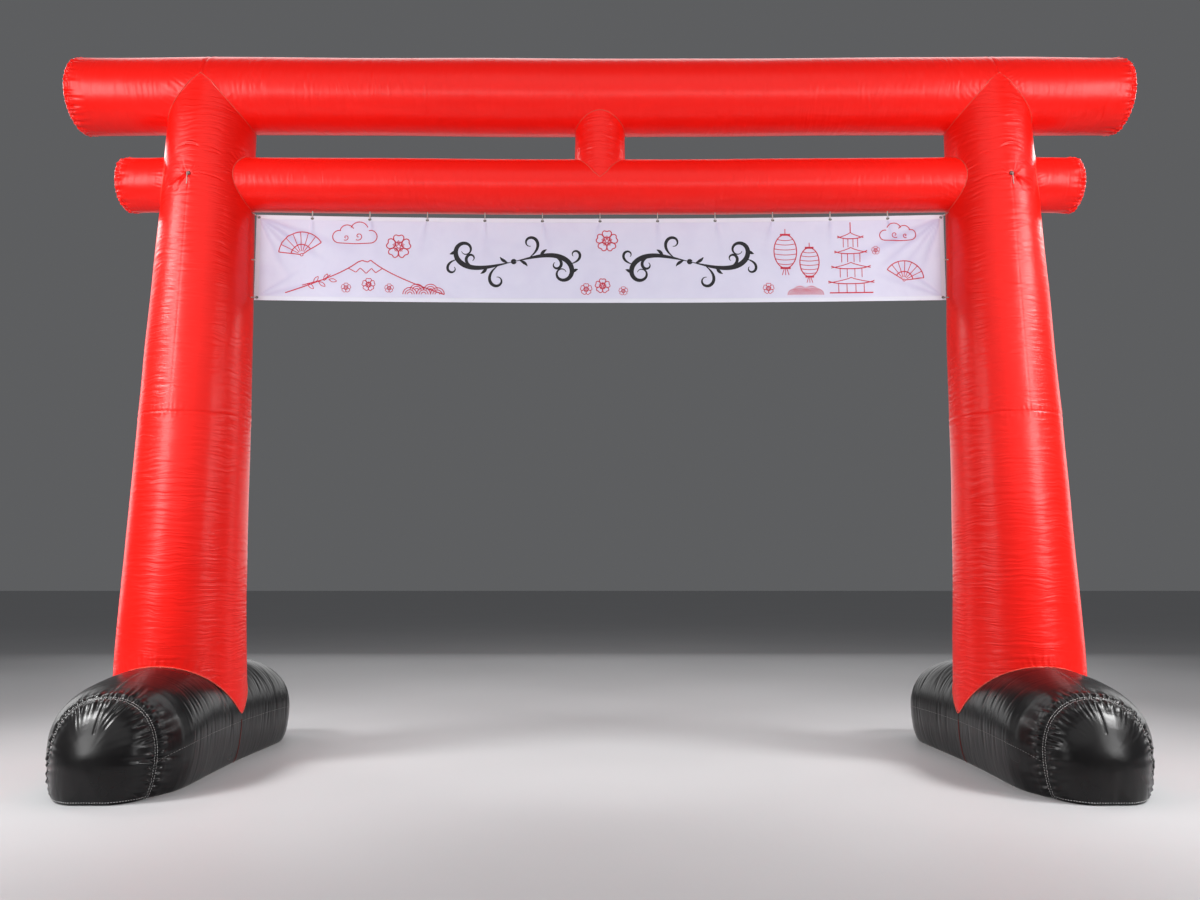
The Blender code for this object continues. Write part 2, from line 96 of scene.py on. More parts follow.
def between(table, where):
    """Every column of a table at the places asked for, smooth and without overshoot."""
    places = table[:, 0]
    gaps = np.diff(places)
    slopes = np.diff(table, axis=0) / gaps[:, None]
    product, total = slopes[:-1] * slopes[1:], slopes[:-1] + slopes[1:]
    tangents = np.vstack([
        slopes[:1],
        np.where(product > 0, 2 * product / np.where(product > 0, total, 1), 0),
        slopes[-1:],
    ])
    where = np.clip(where, places[0], places[-1])
    at = np.clip(np.searchsorted(places, where, side="right") - 1, 0, len(gaps) - 1)
    share, gap = ((where - places[at]) / gaps[at])[..., None], gaps[at][..., None]
    rest = 1 - share
    return (
        table[at] * (1 + 2 * share) * rest**2
        + tangents[at] * gap * share * rest**2
        + table[at + 1] * (3 - 2 * share) * share**2
        - tangents[at + 1] * gap * share**2 * rest
    )


def foot_columns():
    """How each column of a foot's grid weighs the values of a table row."""
    floor, lower, upper = FOOT_COLUMNS
    side = [(share, 0, 0, 1, 0, 0) for share in np.linspace(0, 1, floor, endpoint=False)]
    for turn in np.linspace(0, math.pi / 2, lower, endpoint=False):
        side.append((1, math.sin(turn), 0, math.cos(turn), 1 - math.cos(turn), 0))
    for turn in np.linspace(0, math.pi / 2, upper + 1):
        rise = math.sin(turn) ** (2 / FOOT_POWER)
        run = max(0.0, math.cos(turn)) ** (2 / FOOT_POWER)
        side.append((0, 0, run, 0, 1 - rise, rise))
    signs = [1.0] * len(side) + [-1.0] * (len(side) - 2)
    return np.array(side + side[-2:0:-1]), np.array(signs)


FOOT_WEIGHTS, FOOT_SIGNS = foot_columns()
FOOT_SIDE = sum(FOOT_COLUMNS[:2])  # the column of the side seam
FOOT_CREST = sum(FOOT_COLUMNS)  # the column along the top


def foot_section(reach):
    """Across and height of every column of a foot, for a reach each."""
    wide, top, widest, floor_half, under = np.moveaxis(between(FOOT_ROWS, reach)[..., 1:], -1, 0)
    edge, swell, full, low, middle, high = FOOT_WEIGHTS.T
    across = FOOT_SIGNS * (edge * floor_half + swell * (wide - floor_half) + full * wide)
    return across, low * under + middle * widest + high * top


def foot_world(side, across, height, reach):
    """From a foot's own across, height and signed reach to the gate's frame."""
    across = across - side * FOOT_BEND * reach**2
    sine, cosine = math.sin(side * FOOT_TURN), math.cos(side * FOOT_TURN)
    x = side * FOOT_X + across * cosine - reach * sine
    return np.stack([x, across * sine + reach * cosine, height + 0 * x], axis=-1)


def foot_top(side, x, y):
    """Height of a foot's upper side above a point of the floor, or its widest height beside it."""
    across = x - side * FOOT_X + y * math.sin(side * FOOT_TURN) + side * FOOT_BEND * y**2
    row = between(FOOT_ROWS, np.abs(y))
    share = np.clip(np.abs(across) / row[..., 1], 0, 1)
    rise = (1 - share**FOOT_POWER) ** (1 / FOOT_POWER)
    return row[..., 3] + (row[..., 2] - row[..., 3]) * rise


def outward(grid):
    """Unit normals of a grid whose columns close on themselves, pointing away from its middle."""
    along = np.gradient(grid, axis=0)
    around = np.roll(grid, -1, axis=1) - np.roll(grid, 1, axis=1)
    normal = np.cross(around, along)
    size = np.linalg.norm(normal, axis=2, keepdims=True)
    normal = normal / np.maximum(size, 1e-12)
    middle = grid.mean(axis=1, keepdims=True)
    if ((grid - middle) * normal).sum() < 0:
        normal = -normal
    return normal


def by_seam(points, seam, reach):
    """Distance of every point from a seam and its place along it. Beyond reach both are large."""
    steps = np.linalg.norm(np.roll(seam, -1, axis=0) - seam, axis=1)
    places = np.concatenate([[0], np.cumsum(steps)[:-1]])
    run = np.roll(seam, -1, axis=0) - np.roll(seam, 1, axis=0)
    run /= np.maximum(np.linalg.norm(run, axis=1, keepdims=True), 1e-12)
    flat = points.reshape(-1, 3)
    away, along = np.full(len(flat), 9.0), np.zeros(len(flat))
    low, high = seam.min(axis=0) - reach, seam.max(axis=0) + reach
    near = np.flatnonzero(((flat > low) & (flat < high)).all(axis=1))
    tree = KDTree(len(seam))
    for number, spot in enumerate(seam):
        tree.insert(spot, number)
    tree.balance()
    found = np.array([tree.find(flat[i])[1] for i in near], dtype=int)
    if len(near):
        gap = flat[near] - seam[found]
        slide = (gap * run[found]).sum(axis=1)
        slide = np.clip(slide, -steps[found - 1], steps[found])
        away[near] = np.linalg.norm(gap - slide[:, None] * run[found], axis=1)
        along[near] = places[found] + slide
    return away.reshape(points.shape[:-1]), along.reshape(points.shape[:-1])


def round_length(seam):
    """Length of a closed seam."""
    return np.linalg.norm(np.roll(seam, -1, axis=0) - seam, axis=1).sum()


def ridge(off, height, wide):
    """A smooth ridge along a line, by the distance off it. A height below 0 makes a groove."""
    return height * np.exp(-((off / wide) ** 2))


def puckers(away, along, around, seed, pitch, reach, depth, hold=0.006):
    """Heights of the short folds that run off a gathered seam."""
    draw = np.random.default_rng(seed)
    count = max(3, round(around / pitch))
    close = away < 2.6 * reach
    far, place = away[close], along[close]
    made = np.zeros(len(far))
    for number in range(count):
        centre = (number + draw.uniform(-0.28, 0.28)) * around / count
        long = reach * draw.uniform(0.45, 1.0) * (1.6 if draw.random() < 0.2 else 1)
        half = pitch * draw.uniform(0.15, 0.24)
        deep = depth * draw.uniform(0.35, 1.0)
        off = place - centre - draw.uniform(-0.16, 0.16) * far
        off -= around * np.round(off / around)
        share = np.abs(off) / (half * (1 + 0.5 * far / long))
        fold = 0.55 * np.exp(-((share - 1.7) ** 2)) - np.exp(-(share**2))
        made += deep * fold * np.exp(-((far / long) ** 1.6))
    heights = np.zeros(away.shape)
    heights[close] = made * (1 - np.exp(-((far / hold) ** 2)))
    return heights


def skin(name, grid, finish, start=None, end=None):
    """A closed piece from rows of points whose columns close on themselves.

    start and end say how the first and last row close: with a fan when None, otherwise with a
    list that names each column's partner in a row that is folded flat.
    """
    rows, columns = grid.shape[:2]
    grid = grid.copy()
    for row, partners in ((0, start), (-1, end)):
        if partners is not None:
            grid[row] = (grid[row] + grid[row][partners]) / 2
    index = np.arange(rows * columns).reshape(rows, columns)
    after = np.roll(index, -1, axis=1)
    quads = np.stack([index[:-1], after[:-1], after[1:], index[1:]], axis=-1).reshape(-1, 4)
    points, fans = [grid.reshape(-1, 3)], []
    for row, partners, turn in ((0, start, -1), (rows - 1, end, 1)):
        if partners is None:
            hub = np.full(columns, rows * columns + len(fans))
            points.append(grid[row].mean(axis=0)[None])
            fans.append(np.stack([hub, index[row], after[row]], axis=-1)[:, ::turn])
    points = np.concatenate(points)
    a, b, c, d = (points[quads[:, i]] for i in range(4))
    volume = (a * np.cross(b, c)).sum() + (a * np.cross(c, d)).sum()
    faces = quads.tolist() + [face for fan in fans for face in fan.tolist()]
    if volume < 0:
        faces = [face[::-1] for face in faces]
    mesh = bpy.data.meshes.new(name)
    mesh.from_pydata(points.tolist(), [], faces)
    return placed(name, mesh, finish)


def placed(name, mesh, finish):
    """Link a finished mesh as a piece, with doubles merged and soft shading."""
    body = bmesh.new()
    body.from_mesh(mesh)
    bmesh.ops.remove_doubles(body, verts=body.verts, dist=0.00001)
    bmesh.ops.dissolve_degenerate(body, edges=body.edges, dist=0.000001)
    body.to_mesh(mesh)
    body.free()
    mesh.shade_smooth()
    mesh.set_sharp_from_angle(angle=SHARP_EDGE)
    piece = bpy.data.objects.new(name, mesh)
    bpy.context.scene.collection.objects.link(piece)
    mesh.materials.clear()
    mesh.materials.append(finish)
    return piece


def blown(piece, node):
    """A tube or cap full of air stands for its solid."""
    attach(piece, "root")
    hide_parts(node)


class Wire:
    """An output of a material's nodes. Sums on it add Math nodes, and node() adds any other."""

    def __init__(self, tree, socket=None):
        self.tree, self.socket = tree, socket

    def node(self, kind, sockets=None, out=0, **settings):
        made = self.tree.nodes.new("ShaderNode" + kind)
        for name, value in settings.items():
            setattr(made, name, value)
        for key, value in (sockets or {}).items():
            if isinstance(value, Wire):
                self.tree.links.new(value.socket, made.inputs[key])
            else:
                made.inputs[key].default_value = value
        return Wire(self.tree, made.outputs[out])

    def sum(self, operation, first, second, clamp=False):
        return self.node("Math", {0: first, 1: second}, operation=operation, use_clamp=clamp)

    def __add__(self, other):
        return self.sum("ADD", self, other)

    def __sub__(self, other):
        return self.sum("SUBTRACT", self, other)

    def __rsub__(self, other):
        return self.sum("SUBTRACT", other, self)

    def __mul__(self, other):
        return self.sum("MULTIPLY", self, other)

    __radd__, __rmul__ = __add__, __mul__

    def clamped(self):
        return self.sum("ADD", self, 0.0, clamp=True)

    def noise(self, scale, detail, **more):
        """Soft noise round 0.5, on the place that this output gives."""
        return self.node("TexNoise", {"Vector": self, "Scale": scale, "Detail": detail, **more})

    def tint(self, first, second):
        """A colour that goes from the first to the second as this value goes from 0 to 1."""
        first, second = (colour if isinstance(colour, Wire) else (*colour, 1.0)
                         for colour in (first, second))
        return self.node("Mix", {0: self, 6: first, 7: second}, out=2, data_type="RGBA")

    def relief(self, distance=1.0, strength=1.0):
        """The shading of a surface that this value raises by up to the distance."""
        return self.node("Bump", {"Height": self, "Distance": distance, "Strength": strength})


def material(name, **constants):
    """A new material: a Wire to build on, and a function that links values to its shader."""
    made = bpy.data.materials.new(name)
    made.use_nodes = True
    shader = made.node_tree.nodes["Principled BSDF"]
    for key, value in constants.items():
        shader.inputs[key.replace("_", " ")].default_value = value

    def feed(**wires):
        for key, wire in wires.items():
            made.node_tree.links.new(wire.socket, shader.inputs[key.replace("_", " ")])

    return made, Wire(made.node_tree), feed


def coated_cloth(name, colour, worn, roughness, ripple, ripple_depth, sheen=0.30):
    """Glossy coated cloth, blown taut: fine ripples across the tube show in the highlights."""
    made, wire, feed = material(name, Specular_IOR_Level=sheen, Coat_Roughness=0.20,
                                Coat_Weight=0.05)
    place = wire.node("TexCoord", out=3)
    broad, patch = place.noise(1.7, 3.0), place.noise(4.3, 2.0)
    drift = wire.node("TexNoise", {"Vector": place, "Scale": 6.0, "Detail": 2.0}, out=1)
    drift = wire.node("VectorMath", {0: drift, 1: (0.06, 0.06, 0.06)}, operation="MULTIPLY")
    bent = wire.node("VectorMath", {0: place, 1: drift}, operation="ADD")
    bent = wire.node("Mapping", {"Vector": bent, "Scale": ripple})
    wave, grain = bent.noise(1.0, 2.0, Roughness=0.45), place.noise(420.0, 2.0)
    mask = ((patch - 0.38) * 3.2).clamped()
    tint = ((broad - 0.3) * 1.6).clamped().tint(colour, worn)
    height = wave * (mask * 0.55 + 0.45) * ripple_depth + grain * GRAIN_DEPTH
    feed(Base_Color=tint, Roughness=patch * 0.10 + roughness, Normal=height.relief())
    return made


def swell(points, seed, size, depth):
    """Gentle uneven fullness: heights from seven waves of about a size, of random heading."""
    draw = np.random.default_rng(seed)
    heights = np.zeros(points.shape[:-1])
    for _ in range(7):
        heading = draw.normal(size=3)
        heading *= 2 * math.pi / (size * draw.uniform(0.6, 1.6) * np.linalg.norm(heading))
        heights += np.sin(points @ heading + draw.uniform(0, 7))
    return depth * heights / 4


def ring_reach(height):
    """How far out the plane of the cap's ring is at a height."""
    return RING_TOP[0] + RING_RUN * (1 - height / RING_TOP[1])


black_cloth = coated_cloth(
    "black_coated_cloth", (0.0045, 0.0045, 0.0052), (0.010, 0.0085, 0.008), roughness=0.24,
    ripple=(6.0, 34.0, 8.0), ripple_depth=0.0026, sheen=0.26)

# the cap's ring lies in a slanted plane, so its reach is found from its height and the reverse
ring = np.full(len(FOOT_SIGNS), RING_TOP[0])
for _ in range(30):
    ring = ring_reach(foot_section(ring)[1])
steps = np.linspace(0, 1, BODY_STEPS)
body_reach = (1 - (1 - steps) ** 1.35)[:, None] * ring + BODY_GAP * (1 - steps)[:, None]
steps = np.sin(np.linspace(0, math.pi / 2, CAP_STEPS)) * 0.75 + np.linspace(0, 0.25, CAP_STEPS)
cap_reach = ring + (FOOT_ROWS[-1, 0] - ring) * steps[:, None]
foot_skins = {}
for side, hand in ((-1, "left"), (1, "right")):
    for front, end in ((-1, "front"), (1, "rear")):
        seed = 40 + 2 * side + front
        body = foot_world(side, *foot_section(body_reach), front * body_reach)
        cap = foot_world(side, *foot_section(cap_reach), front * cap_reach)
        rim = body[-1]
        for part, grid in (("", body), ("_end", cap)):
            away, along = by_seam(grid, rim, reach=0.22)
            around = round_length(rim)
            reach, broad = (0.060, 0.0026) if part else (0.058, 0.0042)
            grown = puckers(away, along, around, seed, STITCH_GATHER, reach, 0.0100, hold=0.011)
            # and a few broader folds that run further
            grown += puckers(away, along, around, seed + 100, pitch=0.070, reach=0.110,
                             depth=broad, hold=0.016)
            # the cloth stands full beside the stitches, which draw it in
            grown += ridge(away - 0.030, 0.0045, 0.020)
            grown += ridge(away, -0.0025, 0.006)
            grown += swell(grid, seed, size=0.35, depth=0.0015)
            # the seam along the top, drawn in more near the ring
            middle = np.abs(grid[..., 0] - grid[:, FOOT_CREST, None, 0])
            crest = ridge(middle, 1.0, 0.0055) * (grid[..., 2] > 0.3)
            grown -= (0.0020 + 0.0040 * np.exp(-away / 0.05)) * crest
            if not part:
                # wrinkles that run round the tube beside the pillar
                draw = np.random.default_rng(seed + 7)
                for _ in range(26):
                    place, lean = draw.uniform(0.08, 0.66), draw.normal(0.0, 0.12)
                    middle, long = draw.uniform(0.20, 0.44), draw.uniform(0.05, 0.14)
                    off = np.abs(grid[..., 1]) - place - lean * (grid[..., 2] - middle)
                    line = ridge(off, 1.0, draw.uniform(0.006, 0.009))
                    line *= ridge(grid[..., 2] - middle, 1.0, long)
                    grown -= draw.uniform(0.0010, 0.0024) * line
            free = np.clip(grid[..., 2] / 0.03, 0, 1)  # the tube lies flat on the floor
            moved = grid + outward(grid) * (grown * free)[..., None]
            moved[..., 2] = np.maximum(moved[..., 2], 0.0)
            foot_skins[hand, end + part] = moved
            node = f"foot_{hand}_{end}{part}"
            blown(skin(f"skin_{node}", moved, black_cloth), node)

# -------------------------------------------------------------------- pillars
# Each leaning pillar is two red tubes with a girth seam between them. It is sewn on to the foot
# below and round the underside of the top beam, where its front and rear run up to a point.

TOP_AXIS, TOP_RADIUS, TOP_END, TOP_SAG = 3.816, 0.217, 3.070, 0.012
LOWER_AXIS, LOWER_RADIUS, LOWER_END, LOWER_SAG = 3.2646, 0.156, 2.770, 0.016
JOIN, END_DROOP = 2.272, 0.006  # where the beams cross the pillars, and how far their ends drop
PILLAR_SEAM = 1.870  # height of the girth seam
PILLAR_ROWS = np.array([
    # height, centre, half width, half depth
    (0.220, 2.2640, 0.3285, 0.3400),
    (0.300, 2.2670, 0.3310, 0.3380),
    (0.400, 2.2710, 0.3335, 0.3350),
    (0.900, 2.2820, 0.3190, 0.3190),
    (1.500, 2.2840, 0.3020, 0.3020),
    (2.100, 2.2830, 0.2870, 0.2870),
    (2.500, 2.2820, 0.2745, 0.2745),
    (2.800, 2.2830, 0.2640, 0.2640),
    (3.100, 2.2850, 0.2545, 0.2545),
    (3.450, 2.2860, 0.2450, 0.2450),
    (3.600, 2.2860, 0.2420, 0.2380),
    (3.690, 2.2840, 0.2410, 0.2290),
    (3.790, 2.2800, 0.2400, 0.2210),
    (3.820, 2.2785, 0.2395, 0.2181),
    (3.844, 2.2770, 0.2390, 0.2152),
    (3.860, 2.2770, 0.2385, 0.2100),
    (3.900, 2.2770, 0.2385, 0.1950),
])
PILLAR_COLUMNS, ENTRY_COLUMNS = 240, 160
FOLDED = 7  # rows that close a tube on its neighbour's surface
SUNK = 0.0030  # how far the cut edge of a tube sits inside its neighbour's surface


def beam_height(axis, sag, x):
    """Height of a beam's axis: it sags between the pillars and droops a little beyond them."""
    inside = axis - sag * (1 - np.minimum(np.abs(x) / JOIN, 1) ** 2) ** 2
    out = np.clip((np.abs(x) - JOIN) / (TOP_END - JOIN), 0, 1)
    return inside - END_DROOP * (1 - np.cos(math.pi * out)) / 2


def pillar_point(side, turn, z):
    """A point of a pillar's surface: turn 0 is its outer side and a quarter turn its front."""
    _, centre, wide, deep = np.moveaxis(between(PILLAR_ROWS, z), -1, 0)
    x = side * (centre + wide * np.cos(turn))
    return np.stack([x, -deep * np.sin(turn), z + 0 * x], axis=-1)


def pillar_face(y, z, way):
    """How far out a pillar's surface is. way is -1 on its inner side and 1 on its outer side."""
    _, centre, wide, deep = np.moveaxis(between(PILLAR_ROWS, z), -1, 0)
    return centre + way * wide * np.sqrt(1 - (y / deep) ** 2)


def beam_entry(turn, way):
    """Where the lower beam's surface meets that side of a pillar, for every turn round the beam."""
    x, y = np.full(len(turn), JOIN), LOWER_RADIUS * np.cos(turn)
    for _ in range(4):
        z = beam_height(LOWER_AXIS, LOWER_SAG, x) + LOWER_RADIUS * np.sin(turn)
        x = pillar_face(y, z, way)
    return np.stack([x, y, z], axis=-1)


def crossing(inside, low, high, steps=240):
    """The first place from low to high, for each column, where the test turns true."""
    tries = np.linspace(low, high, steps)
    held = np.array([inside(one) for one in tries])
    first = np.argmax(held, axis=0)
    before, after = tries[np.maximum(first - 1, 0)], tries[first]
    for _ in range(40):
        middle = (before + after) / 2
        deep = inside(middle)
        before, after = np.where(deep, before, middle), np.where(deep, middle, after)
    return (before + after) / 2


def in_top_beam(points):
    """Whether each point is inside the top beam, by as much as a cut edge sinks into it."""
    rise = points[..., 2] - beam_height(TOP_AXIS, TOP_SAG, points[..., 0])
    return np.hypot(points[..., 1], rise) < TOP_RADIUS - SUNK


def round_beam(points, axis, sag, radius):
    """Rows that carry a cut edge round a beam to its lowest line, where both sides meet."""
    height = beam_height(axis, sag, points[:, 0])
    turn = np.arctan2(points[:, 2] - height, np.abs(points[:, 1]))
    rows = []
    for share in np.linspace(0, 1, FOLDED + 1)[1:]:
        now = turn + (-math.pi / 2 - turn) * share
        y = np.sign(points[:, 1]) * radius * np.cos(now)
        rows.append(np.stack([points[:, 0], y, height + radius * np.sin(now)], axis=-1))
    return np.array(rows)


def on_floor_tube(points, side):
    """The same places, sunk a little into the floor tube on that side of the gate."""
    x, y = points[:, 0], points[:, 1]
    return np.stack([x, y, foot_top(side, x, y) - SUNK], axis=-1)


def folded(edge, surface, side):
    """Rows that carry a cut edge over its neighbour's surface to the line where both sides meet."""
    return np.array([surface(edge * (1, 1 - share, 1), side)
                     for share in np.linspace(0, 1, FOLDED + 1)[1:]])


def sewn(grown, grid, seam, seed, pitch, reach, depth, still=0.01):
    """Heights with the folds of a seam between two tubes added. Close to the seam they die away."""
    away, along = by_seam(grid, seam, 2.6 * reach)
    grown = grown + puckers(away, along, round_length(seam), seed, pitch, reach, depth)
    return grown * (1 - ridge(away, 0.8, still))


def spaced(count, start=0.0, end=0.0, fade=0.12, finer=None):
    """Shares from 0 to 1, closer together near an end whose weight is given.

    finer gives one more such place: its weight, its share and how far it reaches.
    """
    steps = np.linspace(0, 1, count)
    pace = 1 + start * np.exp(-steps / fade) + end * np.exp(-(1 - steps) / fade)
    if finer:
        weight, place, reach = finer
        pace += weight * np.exp(-(((steps - place) / reach) ** 4))
    places = np.concatenate([[0], np.cumsum(2 / (pace[1:] + pace[:-1]))])
    return places / places[-1]


RED, WORN_RED = (0.98, 0.009, 0.004), (0.90, 0.008, 0.004)
red_pillar = coated_cloth("red_coated_pillar", RED, WORN_RED, roughness=0.30,
                          ripple=(5.0, 5.0, 56.0), ripple_depth=0.0060)
turns = np.linspace(0, 2 * math.pi, PILLAR_COLUMNS, endpoint=False)
turns = turns + 0.26 * np.sin(2 * turns)  # columns are closer together on the front and the rear
front_to_rear = (-np.arange(PILLAR_COLUMNS)) % PILLAR_COLUMNS
EYELET_HEIGHT, EYELET_TURN = 3.224, math.radians(3.0)
EYELET_REACH = 0.25  # the pillar's half width there, which turns an angle into a distance
EYELET_CREASES = [
    # heading (0 is outwards, 90 up), start, length, bow, half width, depth
    (175, 0.014, 0.150, 1.2, 0.0050, 0.0042),
    (330, 0.012, 0.120, 0.6, 0.0060, 0.0135),
    (308, 0.014, 0.085, 0.0, 0.0055, 0.0115),
    (352, 0.012, 0.085, -0.8, 0.0045, 0.0034),
    (24, 0.014, 0.085, 3.0, 0.0050, 0.0040),
    (48, 0.016, 0.060, 4.0, 0.0045, 0.0034),
    (130, 0.014, 0.045, -3.0, 0.0040, 0.0034),
    (152, 0.012, 0.055, -2.0, 0.0040, 0.0034),
    (205, 0.012, 0.035, 0.0, 0.0040, 0.0030),
    (268, 0.012, 0.060, 0.0, 0.0035, 0.0024),
]
ARCHED_CREASES = [
    # across and up from the eyelet, half length, arch, half width, depth
    (0.020, 0.178, 0.075, 3.6, 0.0062, 0.0052),
    (-0.120, 0.142, 0.045, 3.0, 0.0055, 0.0034),
    (0.085, 0.112, 0.045, 6.0, 0.0050, 0.0034),
    (0.095, 0.075, 0.050, 7.0, 0.0055, 0.0040),
    (0.075, 0.048, 0.045, 6.0, 0.0045, 0.0034),
    (0.110, -0.020, 0.040, 7.0, 0.0050, 0.0036),
    (0.120, -0.085, 0.040, 7.0, 0.0050, 0.0030),
]
SEAM_FOLDS = {
    # from one fold to the next, how far they run, depth
    "foot": (0.030, 0.070, 0.0022),
    "beam": (0.026, 0.045, 0.0011),
    "girth": (0.028, 0.035, 0.0014),
    "inner": (0.026, 0.055, 0.0018),
    "outer": (0.026, 0.050, 0.0024),
}
pillar_seams = {}
for side, hand in ((-1, "left"), (1, "right")):
    def at(z):
        return pillar_point(side, turns, z + 0 * turns)

    def is_clear_of_foot(z):
        return at(z)[:, 2] > on_floor_tube(at(z), side)[:, 2]

    base = crossing(is_clear_of_foot, low=0.22, high=0.62)
    crown = crossing(lambda z: in_top_beam(at(z)), low=3.45, high=3.895)
    entry_turn = np.linspace(0, 2 * math.pi, ENTRY_COLUMNS, endpoint=False)
    pillar_seams[hand] = {
        "foot": at(base), "beam": at(crown), "girth": at(PILLAR_SEAM),
        # where the lower beam runs in
        "inner": beam_entry(entry_turn, -1) * (side, 1, 1),
        "outer": beam_entry(entry_turn, 1) * (side, 1, 1),
    }
    rows = spaced(150, start=2.0, end=1.0)[:, None]
    lower = pillar_point(side, turns, base + (PILLAR_SEAM - BODY_GAP - base) * rows)
    # the upper panel's rows are also closer together round the eyelet
    rows = spaced(280, start=1.0, end=2.0, fade=0.1, finer=(2.4, 0.66, 0.16))[:, None]
    upper = pillar_point(side, turns, PILLAR_SEAM + BODY_GAP + (crown - PILLAR_SEAM) * rows)
    for part, grid in (("lower", lower), ("upper", upper)):
        seed = 70 + 4 * side + (part == "upper")
        grown = swell(grid * (1, 1, 1.6), seed, size=0.8, depth=0.0024)
        for number, (name, seam) in enumerate(pillar_seams[hand].items()):
            if name != "girth":
                grown = sewn(grown, grid, seam, seed + 10 * number, *SEAM_FOLDS[name])
                continue
            pitch, reach, depth = SEAM_FOLDS[name]
            away, along = by_seam(grid, seam, 2.6 * reach)
            around = round_length(seam)
            grown += puckers(away, along, around, seed + 10 * number, pitch, reach, depth)
            grown += ridge(away - 0.016, 0.0009, 0.012)
            grown += ridge(away, -0.0012, 0.005)
        if part == "upper":
            # creases round the eyelet, by the distance across and up from it
            across = (turns - math.pi / 2 + EYELET_TURN) * -EYELET_REACH
            up = grid[..., 2] - EYELET_HEIGHT
            for heading, start, long, bow, half, fold in EYELET_CREASES:
                cosine, sine = math.cos(math.radians(heading)), math.sin(math.radians(heading))
                run = across * cosine + up * sine - start
                off = -across * sine + up * cosine - bow * np.maximum(run, 0) ** 2
                share = np.clip(run / long, 0, 1)
                line = (run > -0.02) * ridge(off, 1.0, half * (0.6 + share))
                line = line * ridge(np.maximum(run - long, 0), 1.0, 0.02)
                line = line * np.minimum(1, np.maximum(run + 0.012, 0) / 0.012)
                lip = ridge(np.abs(off) - 1.7 * half, 0.4, half) * (run > 0) * (run < long)
                grown += fold * (lip - line) * (1 - 0.5 * share)
            for place, height, long, arch, half, fold in ARCHED_CREASES:
                fade = np.clip(1 - ((across - place) / long) ** 2, 0, 1)
                off = up - height + arch * (across - place) ** 2
                grown += fold * fade * (ridge(off - 1.8 * half, 0.6, half) - ridge(off, 1.0, half))
            grown += ridge(np.hypot(across, up), -0.0050, 0.013)
            # the faint upright seam of the front panel
            grown += ridge(across, -0.0006, 0.004) * (up < 0.02)
        moved = grid + outward(grid) * grown[..., None]
        if part == "lower":
            fold = folded(pillar_seams[hand]["foot"], on_floor_tube, side)
            moved, ends = np.concatenate([fold[::-1], moved]), (front_to_rear, None)
        else:
            fold = round_beam(pillar_seams[hand]["beam"], TOP_AXIS, TOP_SAG, TOP_RADIUS - SUNK)
            moved, ends = np.concatenate([moved, fold]), (None, front_to_rear)
        node = f"pillar_{hand}_{part}"
        blown(skin(f"skin_{node}", moved, red_pillar, *ends), node)

# ---------------------------------------------------------------------- beams
# Two red beams cross the pillars. The lower one is sewn into the pillars, with a stub beyond each.
# Every end is gathered on to a crowned disc.

END_BULGE = 0.0378  # of the top beam's disc, and less on the thinner beam
END_ROUND, END_TURN = 0.016, 0.034  # how far an end closes in, and over what length
DISC_OUT, DISC_IN = 0.0006, 0.002  # the disc's clearance beyond the end, and inside its rim
END_GATHER = 0.026  # from one fold to the next round an end
DISC_ROWS = 36
STRUT_WIDE, STRUT_DEEP = 0.146, (0.150, 0.156)  # half width, half depth at the top and the foot
STRUT_COLUMNS = 168
# folds that the seams of the strut and of the pillars pull into the beams, as in SEAM_FOLDS
STRUT_FOLDS, CROWN_FOLDS = (0.022, 0.045, 0.0016), (0.026, 0.060, 0.0018)
INNER_FOLDS, OUTER_FOLDS = (0.024, 0.055, 0.0020), (0.024, 0.045, 0.0018)
red_beam = coated_cloth("red_coated_beam", RED, WORN_RED, roughness=0.31,
                        ripple=(42.0, 4.5, 4.5), ripple_depth=0.0058)


def beam_grid(axis, sag, radius, x, turn):
    """Rows along x of rings round a beam. Turn 0 is its rear and a quarter turn its top."""
    return np.stack([x, radius * np.cos(turn) + 0 * x,
                     beam_height(axis, sag, x) + radius * np.sin(turn)], axis=-1)


def strut_point(turn, z):
    """A point of the strut's surface: a quarter turn is its front."""
    share = np.clip((TOP_AXIS - z) / (TOP_AXIS - LOWER_AXIS), 0, 1)
    deep = STRUT_DEEP[0] + (STRUT_DEEP[1] - STRUT_DEEP[0]) * share
    z = z + 0 * turn
    return np.stack([STRUT_WIDE * np.cos(turn) + 0 * z, -deep * np.sin(turn), z], axis=-1)


strut_turn = np.linspace(0, 2 * math.pi, STRUT_COLUMNS, endpoint=False)


def in_lower_beam(points):
    """Whether each point is inside the lower beam, or below its axis."""
    rise = points[..., 2] - beam_height(LOWER_AXIS, LOWER_SAG, points[..., 0])
    return (np.hypot(points[..., 1], rise) < LOWER_RADIUS - SUNK) | (rise < 0)


strut_top = crossing(lambda z: in_top_beam(strut_point(strut_turn, z)), low=3.45, high=3.80)
strut_foot = crossing(lambda z: in_lower_beam(strut_point(strut_turn, z)), low=3.50, high=3.10)
strut_seams = [strut_point(strut_turn, strut_top), strut_point(strut_turn, strut_foot)]


def on_pillar_side(points, way):
    """The same places, sunk a little into a pillar's inner side (-1) or outer side (1)."""
    y, z = points[:, 1], points[:, 2]
    return np.stack([np.sign(points[:, 0]) * (pillar_face(y, z, way) - way * SUNK), y, z], axis=-1)


def girth_seam(grid):
    """The groove of the top beam's girth seams, one at each pillar, and the fullness beside it."""
    away = JOIN - np.abs(grid[..., 0])
    return ridge(away, -0.0030, 0.006) + ridge(np.abs(away) - 0.020, 0.0016, 0.010)


